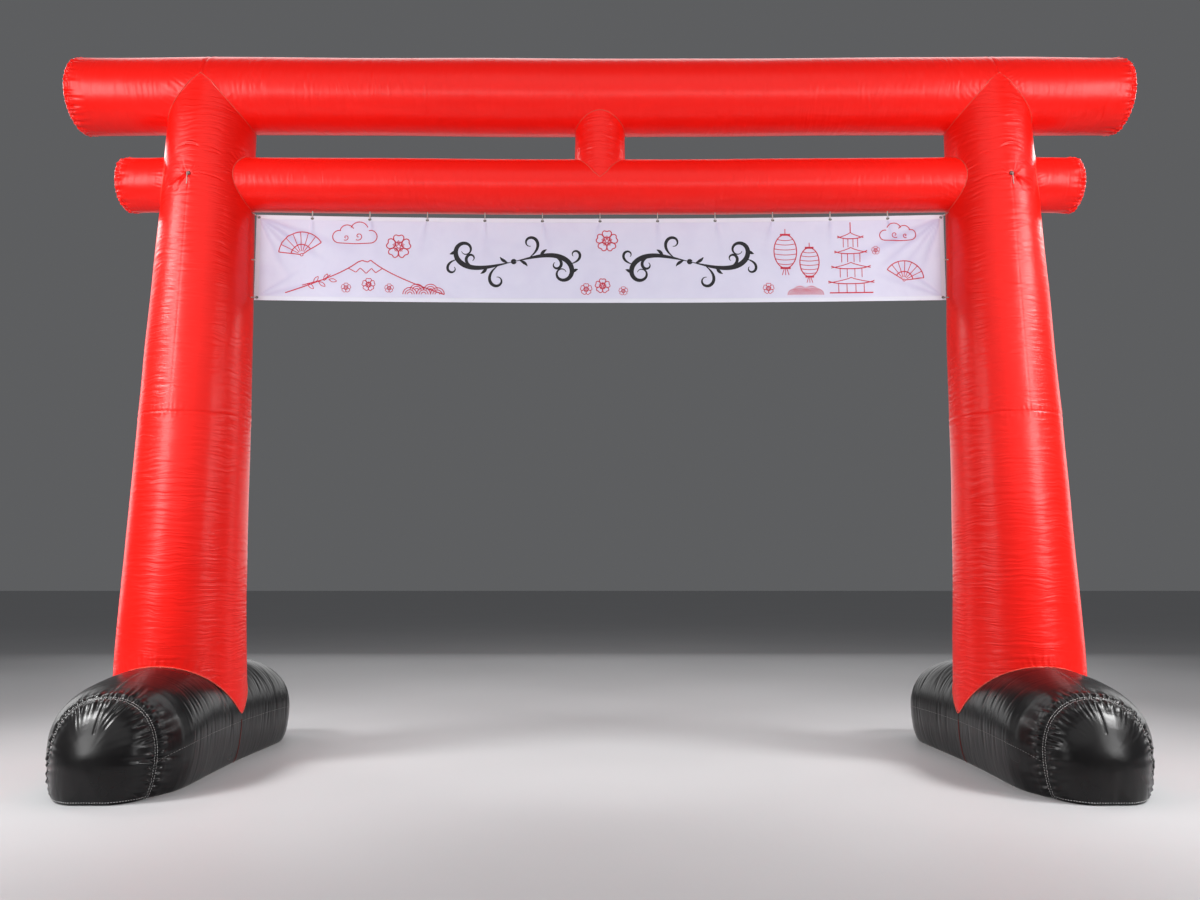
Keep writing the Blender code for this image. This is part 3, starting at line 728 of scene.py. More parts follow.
for beam, axis, sag, radius, end, columns, steps in (
    # its axis, sag, radius and end, then columns and rows of the middle and of a stub
    ("top_beam", TOP_AXIS, TOP_SAG, TOP_RADIUS, TOP_END, (176, 300), (420, 110)),
    ("lower_beam", LOWER_AXIS, LOWER_SAG, LOWER_RADIUS, LOWER_END, (144, 240), (360, 80)),
):
    is_top = beam == "top_beam"
    turn = np.linspace(0, 2 * math.pi, columns[0], endpoint=False)
    rear_to_front = (columns[0] // 2 - np.arange(columns[0])) % columns[0]
    # the top beam is cut at a girth seam, and the lower one on the inner side of each pillar
    far = np.full(columns[0], JOIN - BODY_GAP) if is_top else beam_entry(turn, -1)[:, 0] + SUNK
    rows = spaced(steps[0], start=1.5, end=1.5)[:, None] * 2 - 1
    grid = beam_grid(axis, sag, radius, far * rows, turn)
    grown = swell(grid, 11 + len(beam), size=1.1, depth=0.0026)
    grown = sewn(grown, grid, strut_seams[0 if is_top else 1], 20, *STRUT_FOLDS)
    for number, seams in enumerate(pillar_seams.values()):
        seam, folds = (seams["beam"], CROWN_FOLDS) if is_top else (seams["inner"], INNER_FOLDS)
        grown = sewn(grown, grid, seam, 21 + number, *folds)
    if is_top:
        grown += girth_seam(grid)
        # short wrinkles across the front, where the pillar's weight hangs on the beam
        draw = np.random.default_rng(5)
        for _ in range(15):
            x, rise = draw.uniform(1.86, 2.08), draw.uniform(-0.12, 0.11)
            lean, half, long = draw.normal(0.25, 0.35), draw.uniform(0.003, 0.006), 0.035
            fold = draw.uniform(0.0008, 0.0022)
            for side in (-1, 1):
                up = grid[..., 2] - (axis - sag) - rise
                off = side * grid[..., 0] - x + lean * up
                grown -= ridge(off, fold, half) * ridge(up, 1.0, long) * (grid[..., 1] < 0)
    moved, ends = grid + outward(grid) * grown[..., None], (None, None)
    if not is_top:
        moved = np.concatenate([folded(grid[0], on_pillar_side, -1)[::-1], moved,
                                folded(grid[-1], on_pillar_side, -1)])
        ends = (rear_to_front, rear_to_front)
    blown(skin(f"skin_{beam}_middle", moved, red_beam, *ends), f"{beam}_middle")

    turn = np.linspace(0, 2 * math.pi, columns[1], endpoint=False)
    rear_to_front = (columns[1] // 2 - np.arange(columns[1])) % columns[1]
    near = np.full(columns[1], JOIN + BODY_GAP) if is_top else beam_entry(turn, 1)[:, 0] - SUNK
    for side, hand in ((-1, "left"), (1, "right")):
        seed = 200 + len(beam) + side
        rows = spaced(steps[1], start=0.5, end=5.0)[:, None]
        x = side * (near + (end - near) * rows)
        # the end is rounded over on to its disc
        tight = np.clip((np.abs(x) - (end - END_TURN)) / END_TURN, 0, 1)
        shrink = END_ROUND * (1 - np.sqrt(1 - tight**2))
        rim = beam_grid(axis, sag, radius - END_ROUND, np.full(columns[1], side * end), turn)
        around = round_length(rim)
        grid = beam_grid(axis, sag, radius - shrink, x, turn)
        away, along = by_seam(grid, rim, reach=0.16)
        grown = swell(grid, seed, size=0.8, depth=0.0022)
        fold = puckers(away, along, around, seed, END_GATHER, 0.046, 0.0140, hold=0.011)
        fold += puckers(away, along, around, seed + 9, pitch=0.050, reach=0.075, depth=0.0040,
                        hold=0.012)
        # the line of stitches that gathers the end, and the fullness beyond it
        fold += ridge(away - 0.030, -0.0036, 0.0045)
        fold += ridge(away - 0.042, 0.0020, 0.008)
        grown += fold
        if is_top:
            grown += girth_seam(grid)
            seam, folds = pillar_seams[hand]["beam"], CROWN_FOLDS
        else:
            seam, folds = pillar_seams[hand]["outer"], OUTER_FOLDS
        grown = sewn(grown, grid, seam, seed + 3, *folds)
        moved, ends = grid + outward(grid) * grown[..., None], (None, None)
        if not is_top:
            moved = np.concatenate([folded(grid[0], on_pillar_side, 1)[::-1], moved])
            ends = (rear_to_front, None)
        blown(skin(f"skin_{beam}_{hand}", moved, red_beam, *ends), f"{beam}_{hand}")

        # the crowned disc, with folds that run in from its rim
        share = np.linspace(1, 0, DISC_ROWS)[:-1, None]
        bulge = END_BULGE * radius / TOP_RADIUS * (1 - share**2)
        x = side * (end + DISC_OUT + bulge) + 0 * turn
        disc = beam_grid(axis, sag, (radius - END_ROUND - DISC_IN) * share, x, turn)
        disc[..., 2] += beam_height(axis, sag, end) - beam_height(axis, sag, x)
        away, along = by_seam(disc, rim, reach=0.16)
        grown = puckers(away, along, around, seed, END_GATHER, 0.050, 0.0050, hold=0.008)
        grown = np.maximum(grown, -bulge * 0.6)  # no fold goes deeper than the disc bulges
        moved = disc + np.array([side, 0, 0]) * grown[..., None]
        blown(skin(f"skin_{beam}_end_{hand}", moved, red_beam), f"{beam}_end_{hand}")

# --------------------------------------------------------------- centre strut
# A short red tube stands between the beams at the middle of the gate. It is cut to fit both, and
# sewn to them with a round seam above and a pointed one below.

rows = spaced(96, start=1.5, end=1.5)[:, None]
grid = strut_point(strut_turn, strut_foot + (strut_top - strut_foot) * rows)
grown = swell(grid, 31, size=0.3, depth=0.0012)
for number, seam in enumerate(strut_seams):
    grown = sewn(grown, grid, seam, 32 + number, pitch=0.022, reach=0.040, depth=0.0012,
                 still=0.008)
upside_down = (1, 1, -1)
lower = round_beam(strut_seams[1] * upside_down, -LOWER_AXIS, -LOWER_SAG, LOWER_RADIUS - SUNK)
moved = np.concatenate([
    lower[::-1] * upside_down,
    grid + outward(grid) * grown[..., None],
    round_beam(strut_seams[0], TOP_AXIS, TOP_SAG, TOP_RADIUS - SUNK),
])
partners = (-np.arange(STRUT_COLUMNS)) % STRUT_COLUMNS
blown(skin("skin_centre_strut", moved, red_pillar, partners, partners), "centre_strut")

# ------------------------------------------------- stitches of the floor tubes
# Thick pale thread holds the end caps of the floor tubes in two rows of stitches, and thinner grey
# thread runs along their panels. A bead closes each hem, and a dark red seam joins the two halves.


def seam_tree(name, sockets):
    """A new node tree for seam lines. Gives its inputs, and how to add a node and how to end it."""
    tree = bpy.data.node_groups.new(name, "GeometryNodeTree")
    tree.interface.new_socket("Geometry", in_out="INPUT", socket_type="NodeSocketGeometry")
    for label, kind, value in sockets:
        made = tree.interface.new_socket(label, in_out="INPUT", socket_type="NodeSocket" + kind)
        made.default_value = value
    tree.interface.new_socket("Material", in_out="INPUT", socket_type="NodeSocketMaterial")
    tree.interface.new_socket("Geometry", in_out="OUTPUT", socket_type="NodeSocketGeometry")
    entry, leave = tree.nodes.new("NodeGroupInput"), tree.nodes.new("NodeGroupOutput")

    def node(kind, links, out=0, **settings):
        made = tree.nodes.new(kind if "Node" in kind else "GeometryNode" + kind)
        for key, value in settings.items():
            setattr(made, key, value)
        for key, value in links.items():
            if isinstance(value, bpy.types.NodeSocket):
                tree.links.new(value, made.inputs[key])
            else:
                made.inputs[key].default_value = value
        return made.outputs[out]

    def ended(shape):
        real = node("RealizeInstances", {"Geometry": node("SetShadeSmooth", {"Geometry": shape})})
        done = node("SetMaterial", {"Geometry": real, "Material": entry.outputs["Material"]})
        tree.links.new(done, leave.inputs[0])
        return tree

    return entry.outputs, node, ended


def stitch_tree():
    """Short thread stitches along every line: each is a low capsule that follows its line."""
    values, node, ended = seam_tree("stitches", (
        ("Pitch", "Float", 0.011), ("Length", "Float", 0.008), ("Thickness", "Float", 0.0011),
        ("Seed", "Int", 3)))
    curve = node("MeshToCurve", {"Mesh": values["Geometry"]})
    spots = node("CurveToPoints", {"Curve": curve, "Length": values["Pitch"]}, mode="LENGTH").node
    half = node("ShaderNodeMath", {0: values["Length"], 1: 0.5}, operation="MULTIPLY")
    size = node("ShaderNodeCombineXYZ", {"X": values["Thickness"], "Y": values["Thickness"],
                                         "Z": half})
    ball = node("MeshUVSphere", {"Segments": 6, "Rings": 5, "Radius": 1.0})
    vary = node("FunctionNodeRandomValue", {"Min": (0.8, 0.8, 0.8), "Max": (1.15, 1.15, 1.15),
                                            "Seed": values["Seed"]}, data_type="FLOAT_VECTOR")
    return ended(node("InstanceOnPoints", {
        "Points": spots.outputs["Points"], "Rotation": spots.outputs["Rotation"], "Scale": vary,
        "Instance": node("Transform", {"Geometry": ball, "Scale": size})}))


def bead_tree():
    """A round bead, such as piping or cord, along every line."""
    values, node, ended = seam_tree("bead", (("Radius", "Float", 0.002), ("Sides", "Int", 8)))
    curve = node("MeshToCurve", {"Mesh": values["Geometry"]})
    ring = node("CurvePrimitiveCircle", {"Resolution": values["Sides"], "Radius": values["Radius"]})
    return ended(node("CurveToMesh", {"Curve": curve, "Profile Curve": ring, "Fill Caps": True}))


def grow(name, tree, lines, slot, **values):
    """A plain mesh piece that a node tree makes from lines, each (points, closed)."""
    points, edges = [], []
    for line, closed in lines:
        first = len(points)
        points += [tuple(spot) for spot in line]
        edges += [(i, i + 1) for i in range(first, len(points) - 1)]
        if closed:
            edges.append((len(points) - 1, first))
    base = bpy.data.meshes.new(name)
    base.from_pydata(points, edges, [])
    piece = bpy.data.objects.new(name, base)
    bpy.context.scene.collection.objects.link(piece)
    modifier = piece.modifiers.new("grow", "NODES")
    modifier.node_group = tree
    for item in tree.interface.items_tree:
        if item.in_out == "INPUT" and item.name in values:
            modifier[item.identifier] = values[item.name]
    mesh = bpy.data.meshes.new_from_object(
        piece.evaluated_get(bpy.context.evaluated_depsgraph_get()))
    piece.modifiers.clear()
    piece.data = mesh
    mesh.name = name
    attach(piece, "root")
    return piece


def off_edge(grid, distance, lift):
    """A line at a distance from the first row of a grid, raised by lift off the surface."""
    normal = outward(grid)
    run = np.linalg.norm(np.diff(grid, axis=0), axis=2).cumsum(axis=0)
    line = []
    for column in range(grid.shape[1]):
        after = min(int(np.searchsorted(run[:, column], distance)), len(run) - 1)
        before = run[after - 1, column] if after else 0.0
        share = (distance - before) / max(run[after, column] - before, 1e-9)
        spot = grid[after, column] * (1 - share) + grid[after + 1, column] * share
        line.append(spot + normal[after, column] * lift)
    return np.array(line)


def at_height(grid, height):
    """The line round the front of a cap at a height above the floor."""
    first, last = FOOT_COLUMNS[0] - 2, FOOT_SIDE
    flanks = []
    for columns in (range(first, last), range(-first, -last, -1)):
        flank = []
        for row in grid[2:, columns]:
            above = np.flatnonzero(row[:, 2] > height)
            if not len(above) or above[0] == 0:
                break
            low, high = row[above[0] - 1], row[above[0]]
            flank.append(low + (high - low) * (height - low[2]) / (high[2] - low[2]))
        flanks.append(np.array(flank))
    nose = np.linspace(flanks[0][-1], flanks[1][-1], 10)[1:-1]
    return np.concatenate([flanks[0], nose, flanks[1][::-1]])


def thread(name, colour, stain):
    """Twisted thread, stained in places."""
    made, wire, feed = material(name, Roughness=0.55)
    place = wire.node("TexCoord", out=3)
    twist = wire.node("TexWave", {"Vector": place, "Scale": 260.0, "Distortion": 3.0},
                      bands_direction="DIAGONAL")
    spot = place.noise(35.0, 3.0)
    feed(Base_Color=spot.tint(colour, stain), Roughness=spot * 0.3 + 0.4,
         Normal=twist.relief(0.0004))
    return made


stitches, bead = stitch_tree(), bead_tree()
pale_thread = thread("pale_thread", (0.62, 0.61, 0.60), (0.36, 0.35, 0.35))
grey_thread = thread("grey_thread", (0.34, 0.33, 0.32), (0.12, 0.115, 0.11))
waist_red = thread("waist_red", (0.30, 0.030, 0.020), (0.12, 0.012, 0.010))

THREAD_LIFT, CREST_LIFT, WAIST_LIFT = 0.0006, 0.0001, 0.0008  # of a thread off the cloth
RING_INSET = 0.0065  # from the edge of the cloth to its row of stitches
HEM_HEIGHT = 0.013  # of the stitches round the lower edge of a cap
FLOOR_CLEAR = 0.004  # a ring's stitches stop that far above the floor
PILLAR_CLEAR = 0.345  # the crest seam shows from there outwards, beyond the pillar
BEAD_FLOOR = (-9, -9, 0.0022)  # lifts a bead's line clear of the floor
rings, panels, hems, waists = [], [], [], []
for (hand, end), grid in foot_skins.items():
    normal = outward(grid)
    raised = grid + normal * THREAD_LIFT
    if end.endswith("_end"):
        row = off_edge(grid, RING_INSET, THREAD_LIFT)
        rings.append((at_height(raised, HEM_HEIGHT), False))
    else:
        row = off_edge(grid[::-1], RING_INSET, THREAD_LIFT)
        last, floor = len(FOOT_SIGNS), FOOT_COLUMNS[0]
        panels += [(raised[:-3, column], False) for column in (FOOT_SIDE, last - FOOT_SIDE)]
        hems += [(np.maximum(raised[:-3, column], BEAD_FLOOR), False)
                 for column in (floor + 6, last - floor - 6)]
        crest = (grid + normal * CREST_LIFT)[:-2, FOOT_CREST]
        panels.append((crest[np.abs(crest[:, 1]) > PILLAR_CLEAR], False))
        if end == "front":
            waist = np.maximum((grid + normal * WAIST_LIFT)[0], BEAD_FLOOR)
            waists += [(waist[floor + 3:FOOT_SIDE + 3], False),
                       (waist[last - FOOT_SIDE - 2:last - floor - 3], False)]
    above = row[:, 2] > FLOOR_CLEAR
    start = int(np.argmax(above & ~np.roll(above, 1)))
    rings.append((np.roll(row, -start, axis=0)[np.roll(above, -start)], False))
grow("foot_ring_stitches", stitches, rings, "white_cord", Pitch=0.0115, Length=0.0092,
     Thickness=0.0015, Seed=3, Material=pale_thread)
grow("foot_panel_stitches", stitches, panels, "white_cord", Pitch=0.0150, Length=0.0112,
     Thickness=0.0012, Seed=5, Material=grey_thread)
grow("foot_hem_beads", bead, hems, "white_cord", Radius=0.0020, Material=pale_thread)
grow("foot_waist_seams", bead, waists, "red_pvc", Radius=0.0020, Material=waist_red)

# --------------------------------------------------------------------- piping
# Red piping covers the seams where the pillars meet the beams and where the strut meets both beams,
# and the seam that holds each pillar to its floor tube. It follows the cut edges, a little proud of
# the cloth.


def on_beam(edge, axis, sag, radius, lift=0.0004):
    """The same points, moved out or in to just above a beam's surface."""
    height = beam_height(axis, sag, edge[:, 0])
    swollen = (radius + lift) / np.hypot(edge[:, 1], edge[:, 2] - height)
    return np.stack([edge[:, 0], edge[:, 1] * swollen, height + (edge[:, 2] - height) * swollen],
                    axis=-1)


def pointed(seam, tip, tip_depth):
    """A seam that runs to a point at the tip, in front and behind."""
    upward = tip > seam[:, 2].mean()
    # its round top or foot is left out, so that straight runs meet at the point
    kept = seam[seam[:, 2] < tip - 0.046] if upward else seam[seam[:, 2] > tip + 0.030]
    edge = []
    for before, after in zip(np.roll(kept, 1, axis=0), kept):
        if abs(before[0] - after[0]) > 0.02 and before[1] * after[1] > 0:
            edge.append((seam[:, 0].mean(), math.copysign(tip_depth, after[1]), tip))
        edge.append(after)
    return np.array(edge)


# painted highlight: the piping's thread is a lighter, pinker red than the cloth, which gives each
# seam a thin light line; its stains are its own
highlight_red_thread = thread("highlight_red_thread", (0.92, 0.110, 0.070), (0.70, 0.050, 0.030))
top_beam, lower_beam = (TOP_AXIS, TOP_SAG, TOP_RADIUS), (LOWER_AXIS, LOWER_SAG, LOWER_RADIUS)
piping = []
for seams in pillar_seams.values():
    piping += [on_beam(pointed(seams["beam"], 3.846, 0.215), *top_beam),
               seams["inner"], seams["outer"]]
top, foot = strut_seams
piping += [on_beam(top, *top_beam),
           on_beam(pointed(foot, foot[:, 2].min() - 0.004, 0.156), *lower_beam)]
grow("tube_piping", bead, [(seam, True) for seam in piping], "red_pvc", Radius=0.0023,
     Material=highlight_red_thread)
grow("foot_piping", bead, [(seams["foot"] + (0, 0, SUNK + 0.001), True)
                           for seams in pillar_seams.values()],
     "red_pvc", Radius=0.0036, Material=highlight_red_thread)

# --------------------------------------------------------------------- banner
# A printed cloth banner of white polyester hangs below the lower beam. It is hemmed all round, with
# a hole for an eyelet in each corner and for eleven more along its top.

BANNER_HALF = (2.000, 1.990)  # at the top and at the foot
BANNER_TOP, BANNER_FOOT = (3.057, 0.024), (2.5516, 0.0165)  # height in the middle, rise at a side
BANNER_DEEP, CREASE_DEEP = 0.5054, (0.505, 0.487)  # creases: the cloth, and its lower eyelets
FOLD_DEPTH, FLAT_HEM, CLOTH = 0.007, 0.07, 0.002
HEM_WIDE, HEM_STITCHES = 0.026, 0.003  # the stitches run that far inside the hem's edge
EYELET_X = [-1.984] + [round((i - 5) * 0.335, 4) for i in range(11)] + [1.984]
EYELET_INSET, CLOTH_HOLE = 0.016, 0.0068
HOLE_INNER, HOLE_OUTER = 0.72, 1.18  # points this far out, in hole radii, go to the hole's edge
DEEPEST_CREASE, PLEAT_DEPTH = 0.009, 0.0060
CREASES = (
    # from a corner eyelet: top (0) or foot (1), heading off the hem, length, depth, width
    (0, 22, 0.66, 0.0075, 0.020), (0, 36, 0.50, 0.0090, 0.015), (0, 50, 0.42, 0.0070, 0.013),
    (0, 66, 0.40, 0.0080, 0.016), (1, 18, 0.46, 0.0055, 0.016), (1, 36, 0.34, 0.0065, 0.013),
)


def banner_sheet(x, down, creased=False):
    """The middle of the cloth for places x across and shares down, before its thickness."""
    across = x / BANNER_HALF[0]
    top = BANNER_TOP[0] + BANNER_TOP[1] * across**2
    foot = BANNER_FOOT[0] + BANNER_FOOT[1] * across**2
    half = BANNER_HALF[0] + (BANNER_HALF[1] - BANNER_HALF[0]) * down
    inside = np.clip((down - FLAT_HEM) / (1 - 2 * FLAT_HEM), 0, 1)
    slack = np.sin(math.pi * inside) * (1 - across**8)
    fold = 0.6 * np.sin(9.5 * across + 1.3 * down) + 0.4 * np.sin(23.0 * across - 2.1 * down + 1)
    z = top + (foot - top) * down
    y = FOLD_DEPTH * slack * fold * 0.8
    # weights of the painted shade that darkens the cloth along its creases and in the pleats below
    # the ties
    crease_shade = np.zeros(np.shape(y))
    inner = np.minimum(np.minimum((BANNER_HALF[0] - np.abs(x)) / 0.03, 1),
                       np.minimum(down / 0.05, (1 - down) / 0.05)).clip(0, 1)
    for low, heading, long, depth, wide in CREASES:
        for side in (-1, 1):
            angle = math.radians(heading + 3 * side)
            inward, drop = EYELET_X[-1] - side * x, down * CREASE_DEEP[0]
            beyond = CREASE_DEEP[1] - drop if low else drop - EYELET_INSET
            run = inward * math.cos(angle) + beyond * math.sin(angle)
            off = beyond * math.cos(angle) - inward * math.sin(angle)
            line = ridge(off, depth, wide * (0.35 + run.clip(0, 1) * 2.2)) * inner
            line = line * np.clip(run / 0.06, 0, 1) * np.clip(1 - run / long, 0, 1) ** 0.8
            y = y - line
            crease_shade += line / DEEPEST_CREASE
    for number, place in enumerate(EYELET_X[1:-1]):
        # short pleats below each tie, and a shallow scoop of the cloth between ties
        lean = 0.25 * math.sin(2.1 * number)
        off = x - place - lean * down * 0.5
        drop = down * CREASE_DEEP[0] - EYELET_INSET
        line = ridge(off, 1.0, 0.007 + 0.10 * drop.clip(0, 1))
        line = line * np.clip(drop / 0.03, 0, 1) * np.exp(-drop / 0.09) * inner
        y = y - PLEAT_DEPTH * line
        crease_shade += 0.6 * line
    spots = np.stack([half * across, y, z], axis=-1)
    return (spots, crease_shade) if creased else spots


def banner_point(x, drop, lift):
    """Points of the banner's front face: x across, metres down from its top edge, raised off it."""
    down = np.asarray(drop) / BANNER_DEEP
    spot = banner_sheet(x, down)
    right = banner_sheet(x + 0.002, down) - spot
    below = banner_sheet(x, down + 0.004) - spot
    normal = np.cross(below, right)
    normal /= np.linalg.norm(normal, axis=-1, keepdims=True)
    normal *= -np.sign(normal[..., 1:2])
    return spot + normal * (CLOTH / 2 + lift)


def close_places(start, end, step, centres, near=0.011, fine=0.0029):
    """Places from start to end, a fine step apart near a centre and up to a full step elsewhere."""
    places = [start]
    while places[-1] < end:
        gap = min(abs(places[-1] - centre) for centre in centres)
        places.append(places[-1] + (fine if gap < near else min(step, fine + 0.5 * (gap - near))))
    share = (end - start) / (places[-1] - start)
    return start + (np.array(places) - start) * share


low_eyelets = BANNER_DEEP - EYELET_INSET
columns = close_places(-BANNER_HALF[0], BANNER_HALF[0], 0.013, EYELET_X)
depths = close_places(0.0, BANNER_DEEP, 0.0085, (EYELET_INSET, low_eyelets))
x, drop = np.meshgrid(columns, depths)
holes = [(place, EYELET_INSET) for place in EYELET_X]
holes += [(place, low_eyelets) for place in (EYELET_X[0], EYELET_X[-1])]
gone = np.zeros(x.shape, bool)
for place, low in holes:
    # the nearest points move out on to the hole's edge, and those inside it go
    gap = np.hypot(x - place, drop - low)
    inside = gap < CLOTH_HOLE * HOLE_INNER
    gone |= inside
    rim = ~inside & (gap < CLOTH_HOLE * HOLE_OUTER)
    stretch = CLOTH_HOLE / np.maximum(gap, 1e-6)
    x = np.where(rim, place + (x - place) * stretch, x)
    drop = np.where(rim, low + (drop - low) * stretch, drop)
front = banner_point(x, drop, 0.0)
middle, crease_shade = banner_sheet(x, drop / BANNER_DEEP, creased=True)
index = np.arange(x.size).reshape(x.shape)
quads = np.stack([index[:-1, :-1], index[1:, :-1], index[1:, 1:], index[:-1, 1:]], axis=-1)
quads = quads[~gone.reshape(-1)[quads].any(axis=-1)]
faces = quads.tolist() + (quads[:, ::-1] + x.size).tolist()
open_edges = {}
for a, b in np.concatenate([quads[:, [i, (i + 1) % 4]] for i in range(4)]).tolist():
    if open_edges.pop((b, a), None) is None:
        open_edges[a, b] = True
faces += [[b, a, a + x.size, b + x.size] for a, b in open_edges]
mesh = bpy.data.meshes.new("banner_cloth")
mesh.from_pydata(np.concatenate([front, 2 * middle - front]).reshape(-1, 3).tolist(), [], faces)
edge = np.minimum(np.minimum(BANNER_HALF[0] - np.abs(x), drop), BANNER_DEEP - drop)
for label, values in (("from_edge", edge), ("across", x), ("down", drop), ("crease_shade", crease_shade)):
    mesh.attributes.new(label, "FLOAT", "POINT").data.foreach_set(
        "value", np.tile(values.reshape(-1), 2))

cloth, wire, feed = material("banner_polyester", Specular_IOR_Level=0.35, Sheen_Weight=0.15)
edge = wire.node("Attribute", out=2, attribute_name="from_edge")
flat = wire.node("CombineXYZ", {
    "X": wire.node("Attribute", out=2, attribute_name="across"),
    "Y": wire.node("Attribute", out=2, attribute_name="down")})
weft = wire.node("TexWave", {"Vector": flat, "Scale": 190.0, "Distortion": 1.0}, out=1)
warp = wire.node("TexWave", {"Vector": flat, "Scale": 190.0, "Distortion": 1.0}, out=1,
                 bands_direction="Y")
slub, rumple = flat.noise(9.0, 4.0), flat.noise(3.2, 3.0, Distortion=1.2)
hem = ((edge * -1.0 + HEM_WIDE) * 900.0).clamped()
seam = wire.node("Math", {0: edge - (HEM_WIDE - HEM_STITCHES)}, operation="ABSOLUTE")
seam = ((seam * -1.0 + 0.0007) * 4000.0).clamped()
shade_in_creases = wire.node("Attribute", out=2, attribute_name="crease_shade")
tint = slub.tint((0.620, 0.600, 0.755), (0.690, 0.670, 0.805))
# painted shade: the lilac goes to a deeper lilac along the creases and pleats and where the rumple
# noise is high, standing in for the shade in the cloth's folds
tint = (shade_in_creases * 0.75 + (rumple - 0.5) * 0.6).clamped().tint(tint, (0.450, 0.400, 0.610))
tint = (hem * 0.75).tint(tint, (0.740, 0.740, 0.820))
tint = (seam * 0.5).tint(tint, (0.45, 0.42, 0.52))
height = (weft + warp) * 0.00012 + hem * 0.0005 - seam * 0.0004 + rumple * 0.0060
feed(Base_Color=tint, Roughness=slub * 0.2 + 0.55, Normal=height.relief(strength=0.8))
banner = placed("banner_cloth", mesh, cloth)
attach(banner, "root")
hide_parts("banner")


# --------------------------------------------------------------- banner print
# Ink printed on the front of the banner: line drawings in crimson at both ends and in the middle,
# and between them a black scroll drawn with a broad pen.

INK = 0.0060  # width of a drawn line
INK_LIFT = 0.0007  # off the cloth, which keeps it clear of the cloth's own surface


def ribbon(line, wide, closed=False):
    """A flat strip of ink along a line of (across, down) places. wide is its width, or one each."""
    line = np.array(line, float)
    step = np.linalg.norm(np.diff(line, axis=0), axis=1)
    run = np.concatenate([[0], step.cumsum()])
    count = max(3, int(run[-1] / 0.006) + 1)
    places = np.linspace(0, run[-1], count)
    width = np.interp(places, run, np.broadcast_to(wide, len(line)))
    line = np.stack([np.interp(places, run, line[:, 0]), np.interp(places, run, line[:, 1])], 1)
    if closed:
        line, width = line[:-1], width[:-1]
        run = np.roll(line, -1, axis=0) - np.roll(line, 1, axis=0)
    else:
        run = np.gradient(line, axis=0)
    run /= np.maximum(np.linalg.norm(run, axis=1, keepdims=True), 1e-9)
    side = np.stack([-run[:, 1], run[:, 0]], axis=1) * width[:, None] / 2
    return line - side, line + side, closed


def printed(name, drawings, finish):
    """One piece of ink on the cloth's front, from drawings that are made of ribbons."""
    points, faces = [], []
    for left, right, closed in (strip for drawing in drawings for strip in drawing):
        first, count = len(points), len(left)
        points += np.stack([left, right], axis=1).reshape(-1, 2).tolist()
        for i in range(count if closed else count - 1):
            j = (i + 1) % count
            faces.append([first + 2 * i, first + 2 * i + 1, first + 2 * j + 1, first + 2 * j])
    flat = np.array(points)
    spots = banner_point(flat[:, 0], flat[:, 1], INK_LIFT)
    mesh = bpy.data.meshes.new(name)
    mesh.from_pydata(spots.tolist(), [], faces)
    work = bmesh.new()
    work.from_mesh(mesh)
    for face in work.faces:
        if face.normal.y > 0:
            face.normal_flip()
    work.to_mesh(mesh)
    work.free()
    piece = placed(name, mesh, finish)
    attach(piece, "root")
    return piece


def arc(x, y, wide, tall, start, end, count=24):
    """Part of an ellipse round a place, from one angle to another in degrees."""
    turn = np.radians(np.linspace(start, end, count))
    return np.stack([x + wide * np.cos(turn), y - tall * np.sin(turn)], axis=1)


def turned(line, x, y, turn, size=1.0):
    """A line drawn round the origin, sized, turned by degrees and moved to its place."""
    cosine, sine = math.cos(math.radians(turn)), math.sin(math.radians(turn))
    across, down = np.array(line, float).T * size
    return np.stack([x + across * cosine - down * sine, y + across * sine + down * cosine], axis=1)


def blossom(x, y, size):
    """A blossom of five notched petals, with three stamens on each."""
    ink = INK * min(1.0, size / 0.055)
    for petal in range(5):
        around = np.linspace(-math.pi, math.pi, 26)
        long = 0.36 * np.cos(around) + 0.62 - ridge(around, 0.13, 0.30)
        wide = 0.40 * np.sin(around) * (1 + 0.20 * np.cos(around))
        yield ribbon(turned(np.stack([wide, -long], 1), x, y, 72 * petal, size), ink)
        for lean in (-14, 0, 14):
            yield ribbon(turned([(0, -0.20), (0, -0.50 + abs(lean) * 0.004)], x, y,
                                72 * petal + lean, size), ink * 0.7)
    yield ribbon(arc(x, y, size * 0.15, size * 0.15, 0, 360), ink * 0.8)


def fan(x, y, size, turn):
    """An open folding fan."""
    for radius in (1, 0.45):
        yield ribbon(turned(arc(0, 0, radius, radius, 20, 160), x, y, turn, size), INK)
    for angle in np.linspace(20, 160, 8):
        tip = np.array([math.cos(math.radians(angle)), -math.sin(math.radians(angle))])
        start, ink = (0.04, INK) if angle in (20, 160) else (0.16, INK * 0.7)
        yield ribbon(turned([tip * start, tip], x, y, turn, size), ink)
    yield ribbon(turned(arc(0, 0, 0.06, 0.06, 0, 360), x, y, turn, size), INK * 0.8)


def waves(x, y, size, rows):
    """Rows of round waves, each of three arcs."""
    for row, count in enumerate(rows):
        for number in range(count):
            centre = x + (number - (count - 1) / 2) * 2 * size
            for share in (1.0, 0.66, 0.34):
                start, end = (12, 168) if row else (0, 180)
                yield ribbon(arc(centre, y - row * size * 0.52, size * share, size * share,
                                 start, end), INK * 0.8)


def cloud(x, y, size, side):
    """A cloud of four arcs over a nearly flat foot, with two curls in it."""
    lines = [(arc(*puff, *angles), 0.9) for *puff, angles in (
        # across, down, width, height, angles
        (-0.82, 0.02, 0.36, 0.36, (75, 272)), (-0.38, -0.26, 0.40, 0.40, (28, 172)),
        (0.30, -0.34, 0.50, 0.50, (22, 160)), (0.92, 0.00, 0.36, 0.36, (-90, 106)))]
    lines.append(([(-0.82, 0.38), (0.1, 0.41), (0.92, 0.36)], 0.9))
    share = np.linspace(0.12, 1, 30)
    for across, down, radius in ((0.25, -0.02, 0.24), (-0.45, 0.06, 0.17)):
        lines.append((np.stack([across + radius * share * np.cos(8.5 * share),
                                down + radius * share * np.sin(8.5 * share)], 1), 0.8))
    for line, weight in lines:
        yield ribbon(np.array(line) * (side * size, size) + (x, y), INK * weight)


